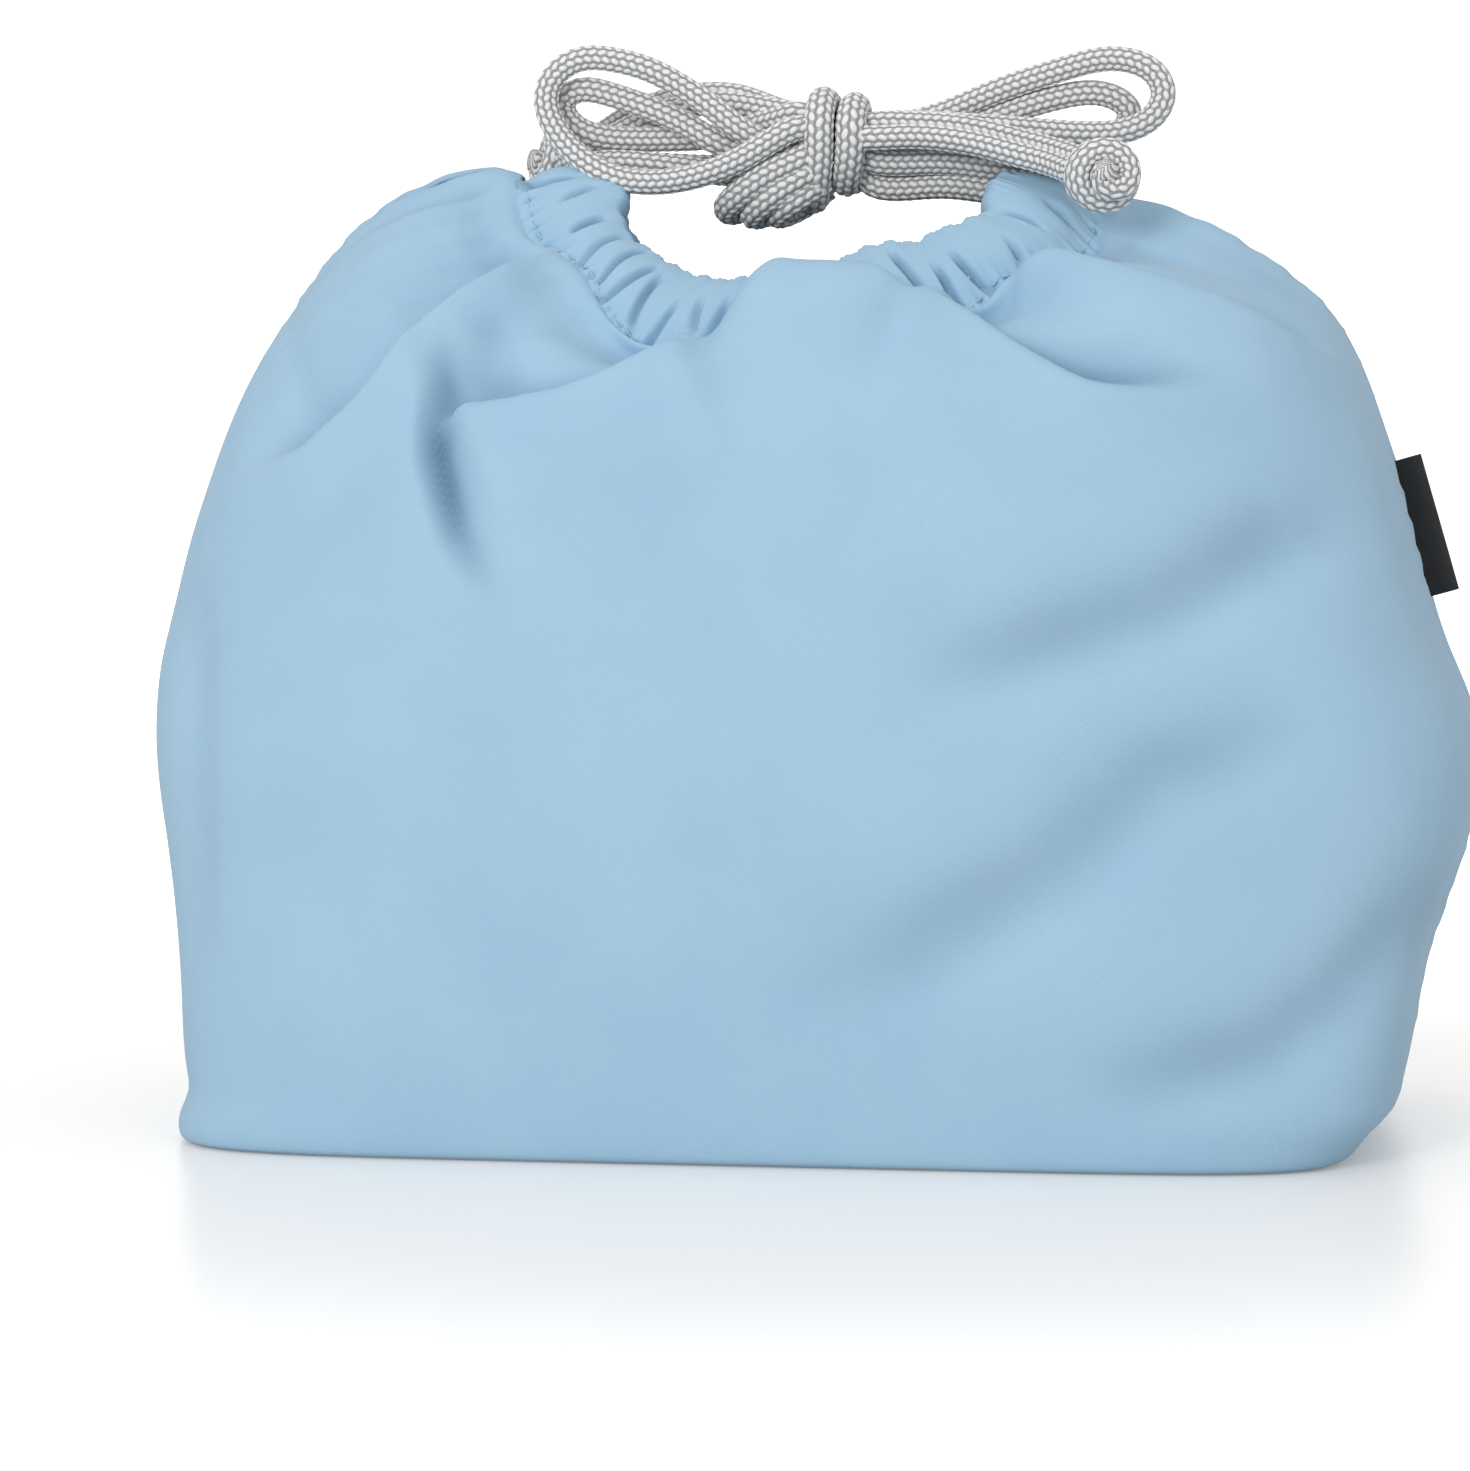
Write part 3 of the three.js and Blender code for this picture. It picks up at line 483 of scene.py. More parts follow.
def fine_twill():
    """Node group: UV in metres to the height of a fine diagonal grain, and a soft mottle from 0 to 1."""
    group, given, sink = new_group(
        "fine_twill", {"UV": "NodeSocketVector"}, {"Height": "NodeSocketFloat", "Mottle": "NodeSocketFloat"}
    )
    lines = add_node(
        group, "ShaderNodeTexWave",
        {
            "Vector": given["UV"], "Scale": WAVE_METRE / GRAIN_PITCH / math.sqrt(3) * math.sqrt(2),
            "Distortion": 3, "Detail": 1, "Detail Scale": 0.6,
        },
        wave_type="BANDS", bands_direction="DIAGONAL",
    )
    pebble = add_node(group, "ShaderNodeTexNoise", {"Vector": given["UV"], "Scale": 1500, "Detail": 2})
    blotch = add_node(group, "ShaderNodeTexNoise", {"Vector": given["UV"], "Scale": 38, "Detail": 4})
    both = add_node(
        group, "ShaderNodeMix", {"Factor": 0.7, "A": lines.outputs["Fac"], "B": pebble.outputs["Fac"]}
    )
    spread = add_node(
        group, "ShaderNodeMapRange", {"Value": blotch.outputs["Fac"], "From Min": 0.35, "From Max": 0.65}
    )
    group.links.new(both.outputs["Result"], sink.inputs["Height"])
    group.links.new(spread.outputs[0], sink.inputs["Mottle"])
    return group


def woven_material(name, fresh, worn, roughness, sheen, strength):
    """Cloth in two tints, with painted shade in the grain's grooves and painted shade deep in its folds."""
    material, tree, shader = new_material(name, roughness, sheen, 0.25)
    uv = add_node(tree, "ShaderNodeUVMap", uv_map="weave")
    weave = add_node(tree, "ShaderNodeGroup", {"UV": uv.outputs[0]}, node_tree=TWILL).outputs
    tint = add_node(tree, "ShaderNodeMix", {"Factor": weave["Mottle"], "A": fresh, "B": worn}, data_type="RGBA")
    # Painted shade in the grain's grooves and a little painted light on its ridges, from the grain's height.
    groove_shade = add_node(
        tree, "ShaderNodeMapRange",
        {"Value": weave["Height"], "From Min": 0.2, "From Max": 0.7, "To Min": 0.975, "To Max": 1.012},
    )
    shade = add_node(
        tree, "ShaderNodeVectorMath", {0: tint.outputs["Result"], "Scale": groove_shade.outputs[0]}, operation="SCALE"
    )
    # Painted shade in folds and creases, read from a point attribute of the cloth.
    painted_shade = add_node(tree, "ShaderNodeAttribute", attribute_name="fold_shade")
    shaded_tint = add_node(
        tree, "ShaderNodeMix", {"Factor": painted_shade.outputs["Fac"], "A": shade.outputs[0], "B": PAINTED_FOLD_SHADE},
        data_type="RGBA", blend_type="MULTIPLY",
    )
    tree.links.new(shaded_tint.outputs["Result"], shader["Base Color"])
    raise_grain(tree, shader, weave["Height"], strength, 0.00012)
    return material


TWILL = fine_twill()
cloth_material = woven_material("soft_touch_cloth", CLOTH_BLUE, CLOTH_BLUE_WORN, 0.85, 0.12, 0.3)

# The shell: two soft-touch cloth panels, pale blue, sewn together down both sides and across the base.
# Their upper edges are gathered on the drawcords, so the cloth tucks in at the mouth and pouches
# over in front of it. Levels run from the base's edge to the stitch line, in millimetres:
# half width, height at the sides, half depth, height at the front, squareness of the level.
LEVELS = np.array([
    (103.7, 0.0, 55.4, 0.0, 7.0), (106.0, 2.6, 57.6, 2.6, 6.8), (107.6, 15.3, 60.1, 15.3, 6.0),
    (110.1, 32.3, 62.7, 32.3, 5.2), (113.6, 51.0, 64.7, 51.0, 4.2), (115.0, 71.4, 66.0, 71.4, 4.0),
    (111.2, 90.1, 66.0, 90.1, 3.7), (106.6, 108.8, 64.4, 107.1, 3.4), (100.7, 126.7, 61.4, 123.3, 3.1),
    (93.2, 142.8, 57.1, 136.9, 2.8), (82.8, 156.4, 52.1, 146.9, 2.6), (73.6, 165.2, 47.5, 152.7, 2.4),
    (65.5, 169.5, 43.2, 153.9, 2.2), (58.6, 170.0, 39.9, 150.6, 2.1), (53.0, 167.5, 38.5, 143.5, 2.0),
])
CREST_LEVEL = 12
LEVEL_SPREAD = 0.82
SHOULDER_DROP = 5.0
# Half width and half depth of the ellipses that the stitch line and the rim are read round.
STITCH_OVAL = (53.0, 38.5)
RIM_OVAL = (34, 23.5)
CLOTH_THICKNESS = 0.0008
# The panel's cut, with a square out of each lower corner for the boxed base: metres, square metres.
PANEL_FLAT = (0.33, 0.25)
FLOOR_SHARE = 0.13
PANEL_COLUMNS = 300
PANEL_ROWS = 158
# Columns stand closer at the left of the front, where the folds are deepest.
COLUMN_CROWD = 0.35
CROWD_PLACE = 0.33
column_steps = np.linspace(0, 1, PANEL_COLUMNS + 1)
COLUMN_SHARES = column_steps - COLUMN_CROWD / (2 * math.pi) * (
    np.sin(2 * math.pi * (column_steps - CROWD_PLACE)) + math.sin(2 * math.pi * CROWD_PLACE)
)


def smooth_table(table, at):
    """A smooth curve through rows of (place, values), read at many places."""
    table = np.array(table, float)
    place, values = table[:, 0], table[:, 1:]
    slope = np.gradient(values, place, axis=0)
    i = np.clip(np.searchsorted(place, at, "right") - 1, 0, len(place) - 2)
    gap = (place[i + 1] - place[i])[:, None]
    share = np.clip((at - place[i])[:, None] / gap, 0, 1)
    cube, square = share**3, share**2
    return (
        values[i] * (2 * cube - 3 * square + 1)
        + slope[i] * gap * (cube - 2 * square + share)
        + values[i + 1] * (3 * square - 2 * cube)
        + slope[i + 1] * gap * (cube - square)
    )


def on_level(levels, turn_share, front_sign):
    """Points of the bag's plain form: levels are row numbers of LEVELS, turn_share runs along a panel."""
    table = np.column_stack([np.arange(len(LEVELS)), LEVELS])
    side, side_rise, front, front_rise, square = smooth_table(table, levels).T
    angle = math.pi * turn_share
    c, s = -np.cos(angle), np.sin(angle)
    reach = (np.abs(c) ** square + np.abs(s) ** square) ** (-1 / square)
    height = front_rise + (side_rise - front_rise) * (c * reach) ** 2
    x = side * c * reach
    y = front_sign * front * s * reach
    drop = smooth_step(x, 0, 53) * smooth_step(height, 143.5, 170)
    return np.stack([x, y, height - SHOULDER_DROP * drop], axis=1)


# The stitch line that closes the front casing, from the left seam to the right one, and the folded
# rim above it. The left front of the mouth is drawn down lower than the right.
FRONT_STITCH_LINE = [
    (-52, 0, 169), (-51.6, -4, 167.6), (-49.8, -11, 161.4), (-46.4, -17.6, 156), (-39.6, -23.5, 153),
    (-35.4, -27.8, 149.6), (-32.6, -31.6, 145.2), (-29, -35, 140.4), (-24, -37.8, 136.6), (-15, -39.8, 135.8),
    (-4, -40.6, 137), (8, -40.6, 138.4), (20, -39.4, 140), (29, -37.2, 141.6), (34.6, -34.6, 144),
    (37, -31.6, 147.4), (41.6, -27.8, 150), (47.5, -23, 151.4), (52, -17.5, 152.8), (53.4, -10, 157.4),
    (53, -5, 161.2), (52.6, 0, 163.6),
]
FRONT_RIM_LINE = [
    (-32.5, -4.6, 166.5), (-30.6, -7.6, 164.8), (-30.6, -12, 159.2), (-28.4, -15, 155), (-24.8, -17.4, 153),
    (-20, -20, 150.8), (-12.5, -22.6, 149), (-4, -23.6, 149.4), (5, -23.7, 151.2), (11, -23.4, 153.4),
    (16, -22.5, 155.6), (20, -21.6, 155.2), (24.6, -19.8, 157), (29.2, -17, 158.8), (32, -13, 160.4),
    (32.6, -8.6, 165.8), (34.4, -5, 167),
]
BACK_STITCH_LINE = [
    (-52, 0, 169.2), (-51.4, 8, 163), (-46, 19, 152.6), (-37, 27.4, 144.6), (-25, 34, 139),
    (-10, 37.4, 136.6), (6, 37.8, 137), (20, 35.8, 138.6), (33, 30, 143), (43, 21.6, 149.4), (50.4, 10.5, 157.6),
    (52.6, 0, 163.6),
]
BACK_RIM_LINE = [
    (-34.4, 4.6, 166), (-34, 9, 160), (-31.6, 13, 153.4), (-25.6, 17.4, 148.4), (-16, 21, 146), (-5, 23, 145.8),
    (6, 23.2, 147), (17, 21.4, 148.4), (26, 17, 151.6), (31, 11.6, 157), (33.6, 7, 163), (34.6, 4.8, 166),
]


def along_mouth(line, oval=STITCH_OVAL):
    """The line's points with their share of the way round one panel, for smooth_table."""
    points = np.array(line, float)
    turned = np.arctan2(np.abs(points[:, 1]) / oval[1], -points[:, 0] / oval[0]) / math.pi
    return np.column_stack([turned, points])


def to_front_edge(points, path):
    """Signed distance from a path seen from the front, positive on its upper side, and the share along it."""
    path = np.array(path, float)
    spot = points[:, [0, 2]]
    starts, ends = path[:-1], path[1:]
    lengths = np.linalg.norm(ends - starts, axis=1)
    walked = np.concatenate([[0], np.cumsum(lengths)])
    best = np.full(len(spot), 1e9)
    signed = np.zeros(len(spot))
    share = np.zeros(len(spot))
    for k, (a, b) in enumerate(zip(starts, ends)):
        along = (b - a) / lengths[k]
        offset = spot - a
        run = np.clip(offset @ along, 0, lengths[k])
        gap = offset - run[:, None] * along
        distance = np.linalg.norm(gap, axis=1)
        upper = np.sign(along[0] * offset[:, 1] - along[1] * offset[:, 0])
        nearer = distance < best
        best = np.where(nearer, distance, best)
        signed = np.where(nearer, distance * np.where(upper == 0, 1, upper), signed)
        share = np.where(nearer, (walked[k] + run) / walked[-1], share)
    return signed, share


def lapped_fold(points, path, lift, drop, below, edge, above, fade_in, fade_out, ease_power=1.1):
    """Cloth that swells up to an edge, falls behind it and eases out again: a push outwards in millimetres."""
    signed, share = to_front_edge(points, path)
    strength = smooth_step(share, 0, fade_in) * (1 - smooth_step(share, 1 - fade_out, 1))
    swell = lift * np.exp(-((signed / below) ** 2))
    fall = lift - (lift + drop) * smooth_step(signed, 0, edge)
    ease = -drop * np.exp(-((np.maximum(signed - edge, 0) / above) ** ease_power))
    return strength * np.where(signed < 0, swell, np.where(signed < edge, fall, ease))


def soft_valley(points, path, depth, width):
    """A shallow trough along a path that fades out at both ends."""
    signed, share = to_front_edge(points, path)
    strength = smooth_step(share, 0, 0.3) * (1 - smooth_step(share, 0.6, 1))
    return -depth * strength * np.exp(-((signed / width) ** 2))


# The bag leans over to its right as it stands: height, and how far its left and right sides are moved
# across, in millimetres.
SIDE_LEAN = [
    (0, -1.4, -7), (4, -0.6, -5), (9, 1.7, -1.0), (14, 1.6, -0.2), (30, 2.6, 0.6), (46, 3.3, 2.7), (58, 2.9, 4.3),
    (72, 2.4, 3.4), (86, 0.9, 0.9), (94, 0.8, 0.2), (104, 0.6, 0), (114, 0.7, 0.1), (124, 0.6, 0.2),
    (134, 0.2, 0.8), (143, -0.8, 1), (150, -1.8, 0.7), (157, -2.5, 0.3), (162, -2.2, -0.2), (167, -0.9, 0),
    (172, 0, 0), (180, 0, 0),
]
LEAN_RANGE = (30, 82)


def leaned(points):
    """The points with both sides moved across by SIDE_LEAN."""
    shift = smooth_table(SIDE_LEAN, points[:, 2])
    left = shift[:, 0] * smooth_step(-points[:, 0], *LEAN_RANGE)
    right = shift[:, 1] * smooth_step(points[:, 0], *LEAN_RANGE)
    points[:, 0] += left + right
    return points


NECK_TUCK = 1.4
CREST_START = 7.5
CREST_DRAWN_IN = 0.35
RIM_ENDS = (0.04, 0.96)


def panel_points(front_sign, stitch_line, rim_line, crest_drops):
    """The plain form of one panel with its upper part drawn to its stitch line: places, and each row's level."""
    a, t = np.meshgrid(COLUMN_SHARES, np.linspace(0, 1, PANEL_ROWS + 1), indexing="xy")
    a, t = a.ravel(), t.ravel()
    wall = np.clip((t - FLOOR_SHARE) / (1 - FLOOR_SHARE), 0, 1)
    level = (len(LEVELS) - 1) * wall**LEVEL_SPREAD
    points = on_level(level, a, front_sign)
    on_floor = t < FLOOR_SHARE
    points[on_floor, 1] *= (t[on_floor] / FLOOR_SHARE)
    top = on_level(np.full(len(a), len(LEVELS) - 1.0), a, front_sign)
    neck = smooth_table(along_mouth(stitch_line), a)
    to_rim = smooth_table(along_mouth(rim_line, RIM_OVAL), np.clip(a, *RIM_ENDS)) - neck
    # The cut edge is tucked up into the casing.
    neck += NECK_TUCK * to_rim / np.linalg.norm(to_rim, axis=1)[:, None]
    neck_move = neck - top
    crest_move = np.zeros_like(points)
    crest_move[:, 2] = smooth_table(crest_drops, a)[:, 0]
    crest_move[:, :2] = CREST_DRAWN_IN * neck_move[:, :2]
    to_crest = smooth_step(level, CREST_START, CREST_LEVEL)[:, None]
    to_neck = smooth_step(level, CREST_LEVEL, len(LEVELS) - 1)[:, None]
    points += crest_move * to_crest * (1 - to_neck) + neck_move * to_neck
    return leaned(points), a, level


def outward(points):
    """The way that the surface faces at each point of a panel's grid."""
    grid = points.reshape(PANEL_ROWS + 1, PANEL_COLUMNS + 1, 3)
    along = np.gradient(grid, axis=1)
    up = np.gradient(grid, axis=0)
    normal = np.cross(along, up)
    normal /= np.linalg.norm(normal, axis=2)[:, :, None] + 1e-12
    return normal.reshape(-1, 3)


def relaxed(values, rounds):
    """Values on a panel's grid, smoothed with their neighbours, its edges kept."""
    grid = values.reshape(PANEL_ROWS + 1, PANEL_COLUMNS + 1, -1).copy()
    for _ in range(rounds):
        grid[1:-1] = 0.25 * grid[:-2] + 0.5 * grid[1:-1] + 0.25 * grid[2:]
        grid[:, 1:-1] = 0.25 * grid[:, :-2] + 0.5 * grid[:, 1:-1] + 0.25 * grid[:, 2:]
    return grid.reshape(values.shape)


def seam_pucker(turn_share, height):
    """How far the cloth is drawn in beside the side seams, with the small puckers of the stitching."""
    near = np.minimum(turn_share, 1 - turn_share) * PANEL_FLAT[0] * 1000
    ripple = 0.22 * np.sin(height * 1.1) + 0.14 * np.sin(height * 2.3 + 1)
    return (1.1 + ripple) * np.exp(-((near / 2.2) ** 2)) + ripple * np.exp(-((near / 7) ** 2))


def averaged(values, columns, rows, reach):
    """Values on a grid of points, each averaged with those around it."""
    grid = values.reshape(rows + 1, columns + 1)
    weight = np.hanning(2 * reach + 3)[1:-1]
    weight /= weight.sum()
    for axis in (0, 1):
        grid = np.apply_along_axis(
            lambda line: np.convolve(np.pad(line, reach, "edge"), weight, "valid"), axis, grid
        )
    return grid.ravel()


# Sizes of fold that get painted shade: how many grid steps round a point are averaged, how far below
# them it has to lie in millimetres, and how much that counts.
FOLD_SHADE_SIZES = ((3, 1.4, 0.75), (16, 4, 0.5))


def fold_shade_amount(pushed, columns, rows):
    """How far a point lies in a fold, from 0 to 1: painted shade darkens the cloth there."""
    painted_shade = sum(
        share * np.clip((averaged(pushed, columns, rows, reach) - pushed) / depth, 0, 1)
        for reach, depth, share in FOLD_SHADE_SIZES
    )
    return np.clip(averaged(painted_shade, columns, rows, 1), 0, 1)


def cloth_sheet(name, points, columns, rows, flat, thickness=CLOTH_THICKNESS, fold_shades=None, shares=None):
    """A sheet of cloth on a grid of points in millimetres; its UVs are its flat place in metres."""
    shape = bmesh.new()
    bmesh.ops.create_grid(shape, x_segments=columns, y_segments=rows, size=0.5)
    piece = new_piece(name, shape)
    mesh = piece.data
    place = np.zeros(len(mesh.vertices) * 3)
    mesh.vertices.foreach_get("co", place)
    place = place.reshape(-1, 3)
    column = np.rint((place[:, 0] + 0.5) * columns).astype(int)
    row = np.rint((place[:, 1] + 0.5) * rows).astype(int)
    spot = row * (columns + 1) + column
    mesh.vertices.foreach_set("co", (points[spot] / 1000).ravel())
    if shares is None:
        shares = np.linspace(0, 1, columns + 1)
    uvs = np.column_stack([shares[column] * flat[0], row / rows * flat[1]])
    corners = np.zeros(len(mesh.loops), int)
    mesh.loops.foreach_get("vertex_index", corners)
    mesh.uv_layers.new(name="weave").data.foreach_set("uv", uvs[corners].ravel())
    # Painted shade for the folds, kept on the points for the material.
    if fold_shades is not None:
        mesh.attributes.new("fold_shade", "FLOAT", "POINT").data.foreach_set("value", fold_shades[spot])
    mesh.update()
    ply = piece.modifiers.new("thickness", "SOLIDIFY")
    ply.thickness = thickness
    ply.offset = -1
    return piece


def close_sheet(piece, cap_ends):
    """Joins a sheet that is rolled up so that its edges meet."""
    shape = bmesh.new()
    shape.from_mesh(piece.data)
    close_roll(shape, 1e-6, cap_ends)
    shape.to_mesh(piece.data)
    shape.free()
    piece.data.shade_smooth()


# Folds of the panels, as seen from the front: across and up, in millimetres. A valley goes on with its
# depth and half width.
POUCH_EDGE_LEFT = [
    (-56, 126), (-51.4, 129), (-43, 130.2), (-34.5, 131.4), (-27, 134), (-19.7, 137.2), (-11.6, 140.4),
]
POUCH_EDGE_RIGHT = [
    (20.7, 149.5), (27.5, 147), (35.3, 143.3), (41.5, 139.4), (50.2, 134.9), (54.5, 133.1), (60.5, 132.3),
    (70.7, 132), (82.6, 131.2),
]
SHOULDER_LAP_LEFT = [
    (-40, 155.2), (-48, 151.6), (-55.1, 147.4), (-60.2, 143), (-63.6, 138.6), (-66.8, 132.6), (-70.8, 128.3),
    (-78.6, 122.4), (-87.7, 118.3), (-94, 116),
][::-1]
DEEP_CREASE = [
    (-58.6, 145), (-57.9, 139.4), (-57.6, 132.7), (-58.3, 125.8), (-58.1, 120.3), (-56.1, 113.4),
    (-53.9, 107), (-49.2, 98.9), (-42.3, 90.8),
]
SHOULDER_LAP_RIGHT = [
    (34.5, 155), (39.7, 155.4), (46.6, 155), (55.4, 152.8), (64.3, 150.3), (73.1, 147.2), (82, 143.2),
    (90.6, 138.5), (98.3, 133.4),
]
VALLEYS = [
    ([(-50, 150), (-48, 143), (-48, 137), (-52, 129)], 4.6, 6.5),
    ([(96, 126), (89.7, 110.3), (66.4, 97.2), (41.4, 89), (16.4, 80.7)], 4.2, 9),
    ([(104, 84), (84, 76), (66.8, 70), (50, 54), (24.9, 37.6), (-4, 24.1)], 3.6, 10),
    ([(120, 62), (109, 44), (97, 31), (84, 22), (66, 17), (44, 15)], 3.0, 7.5),
    ([(-100, 112), (-99, 84), (-99, 50), (-98, 16)], 1.6, 5),
]
# How far the crest of a panel is drawn down, by the share of the way from the left seam to the right.
FRONT_CREST_DROPS = [
    (0, -1.7), (0.06, -3.1), (0.12, -6), (0.2, -9), (0.25, -10), (0.28, -11.5), (0.3, -12.8), (0.33, -15.2),
    (0.36, -16.5), (0.4, -17.2), (0.44, -14.5), (0.462, -12), (0.478, -4), (0.495, -0.6), (0.52, 0),
    (0.55, -0.6), (0.575, -0.8), (0.6, -4.6), (0.65, -9), (0.685, -10.4), (0.7, -9.8), (0.72, -5.5),
    (0.75, -3.4), (0.8, -4), (0.84, -5.5), (0.88, -7.4), (0.92, -6), (0.96, -3), (1, -1.5),
]
BACK_CREST_DROPS = [
    (0, -0.6), (0.1, -3.4), (0.2, -6), (0.3, -8), (0.4, -8), (0.5, -7), (0.6, -6), (0.7, -5), (0.8, -5.5),
    (0.9, -5), (1, -1.5),
]
BACK_VALLEYS = [
    ([(-92, 128), (-84, 112), (-62, 96), (-34, 84), (-8, 78)], 2.2, 10),
    ([(98, 122), (86, 104), (64, 88), (36, 76), (14, 70)], 2.0, 11),
    ([(-20, 138), (-14, 120), (-10, 102), (-2, 88)], 1.5, 7),
    ([(30, 134), (34, 118), (33, 104), (28, 92)], 1.3, 6),
    ([(-104, 60), (-84, 44), (-58, 32), (-30, 24)], 1.7, 9),
    ([(104, 52), (88, 40), (66, 30), (44, 22)], 1.5, 9),
]


# Pleats, in shares of a panel's width: the plain margin, a pleat's valley, and the ridge beside it.
PLEAT_MARGIN = 0.05
VALLEY_SHARE = 0.011
RIDGE_AFTER = 0.02
RIDGE_SHARE = 0.014


def gathers(turn_share, level, seed, depth=1.5):
    """Soft pleats that run down from the stitch line and die out in the cloth."""
    chance = np.random.default_rng(seed)
    amount = np.zeros_like(turn_share)
    place = PLEAT_MARGIN
    while place < 1 - PLEAT_MARGIN:
        reach = chance.uniform(4.2, 7.5)
        strength = chance.uniform(0.5, 1.0) * smooth_step(level, len(LEVELS) - 1 - reach, len(LEVELS) - 1.5)
        amount -= depth * strength * np.exp(-(((turn_share - place) / VALLEY_SHARE) ** 2))
        amount += 0.5 * depth * strength * np.exp(-(((turn_share - place - RIDGE_AFTER) / RIDGE_SHARE) ** 2))
        place += chance.uniform(0.034, 0.06)
    return amount


# Folds die out towards the side seams, over this share of a panel's width, and below the stitch line,
# between these levels.
SEAM_HOLD = 0.06
FOLDS_END = (12.4, 13.7)
FACING_ROUNDS = 12


def panel_cloth(name, sign, plain, moved):
    """A panel from its plain form and how far each of its points is pushed outwards, in millimetres."""
    points, turn_share, level = plain
    # The side seams stay where they are, and the cloth is drawn in along them.
    moved *= smooth_step(turn_share, 0, SEAM_HOLD) * smooth_step(1 - turn_share, 0, SEAM_HOLD)
    moved *= 1 - smooth_step(level, *FOLDS_END)
    moved -= seam_pucker(turn_share, points[:, 2])
    points += outward(relaxed(points, FACING_ROUNDS)) * -sign * moved[:, None]
    points[:, 2] = np.maximum(points[:, 2], 0)
    # How deep each point lies in a fold, for the painted shade.
    fold_shades = fold_shade_amount(moved, PANEL_COLUMNS, PANEL_ROWS)
    piece = cloth_sheet(
        name, points, PANEL_COLUMNS, PANEL_ROWS, PANEL_FLAT, fold_shades=fold_shades, shares=COLUMN_SHARES
    )
    piece.modifiers["thickness"].offset = sign
    return piece


plain_front = panel_points(-1, FRONT_STITCH_LINE, FRONT_RIM_LINE, FRONT_CREST_DROPS)
front_points, front_share, front_level = plain_front
moved = np.zeros(len(front_points))
for fold in (
    (POUCH_EDGE_LEFT, 2.4, 4.8, 14, 2.2, 11, 0.12, 0.1),
    (POUCH_EDGE_RIGHT, 2.0, 4.0, 12, 1.8, 11, 0.1, 0.45),
    (SHOULDER_LAP_LEFT, 3.2, 9.4, 11, 2.4, 16, 0.4, 0.15),
    (DEEP_CREASE, 2.0, 5.0, 7, 1.7, 4.2, 0.42, 0.55, 1.8),
    (SHOULDER_LAP_RIGHT, 2.4, 3.0, 12, 1.8, 13, 0.12, 0.35),
):
    moved += lapped_fold(front_points, *fold)
moved += 0.35 * gathers(front_share, front_level, 5)
for valley in VALLEYS:
    moved += soft_valley(front_points, *valley)
moved = averaged(moved, PANEL_COLUMNS, PANEL_ROWS, 1)
front_cloth = panel_cloth("front_cloth", -1, plain_front, moved)

plain_back = panel_points(1, BACK_STITCH_LINE, BACK_RIM_LINE, BACK_CREST_DROPS)
back_points, back_share, back_level = plain_back
moved = np.zeros(len(back_points))
for valley in BACK_VALLEYS:
    moved += soft_valley(back_points, *valley)
moved += gathers(back_share, back_level, 31)
back_cloth = panel_cloth("back_cloth", 1, plain_back, moved)

for cloth, side, sign in ((front_cloth, "front", -1), (back_cloth, "back", 1)):
    cloth.data.materials.append(cloth_material)
    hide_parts(side + "_panel")
    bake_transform(cloth)

# The casings: each panel's upper edge is folded outwards into a tunnel for both cords, stitched down
# along its lower edge, and gathered, so that it puckers into creases that run across it.
BAND_COLUMNS = 420
BAND_AROUND = 56
BAND_THICKNESS = [(0, 1.5), (0.1, 1.7), (0.17, 3.2), (0.34, 6.8), (0.57, 8.2), (0.8, 7.2), (1, 5.0)]
BAND_START = 0.042
BAND_WEAVE = (0.3, 0.044)
CORD_LANES = {"left": 0.64, "right": 0.37}
CREASE_EDGE = 0.2
CREASE_RIDGE = 0.28
INNER_CREASES = 0.55


def band_creases(seed, length):
    """Creases across a band: place, depth, half width, where they start and end across it, lean and bow."""
    chance = np.random.default_rng(seed)
    creases = []
    place = 3.0
    while place < length - 2:
        whole = chance.random() < 0.45
        start = chance.uniform(-0.2, 0.05) if whole else chance.uniform(0.1, 0.45)
        creases.append((
            place,
            chance.uniform(1.5, 2.8),
            chance.uniform(0.5, 0.85),
            start,
            start + chance.uniform(0.7, 1.0) if whole else start + chance.uniform(0.3, 0.55),
            chance.uniform(-4.5, 3.5),
            chance.uniform(-1.6, 1.6),
        ))
        place += chance.uniform(3.8, 9.4)
    return creases


def facing_out(ways, line):
    """Ways across a line round the mouth, each turned to point out of the bag."""
    return ways * np.sign((ways * (line * (1, 1, 0) + (0, 0, 20))).sum(1))[:, None]


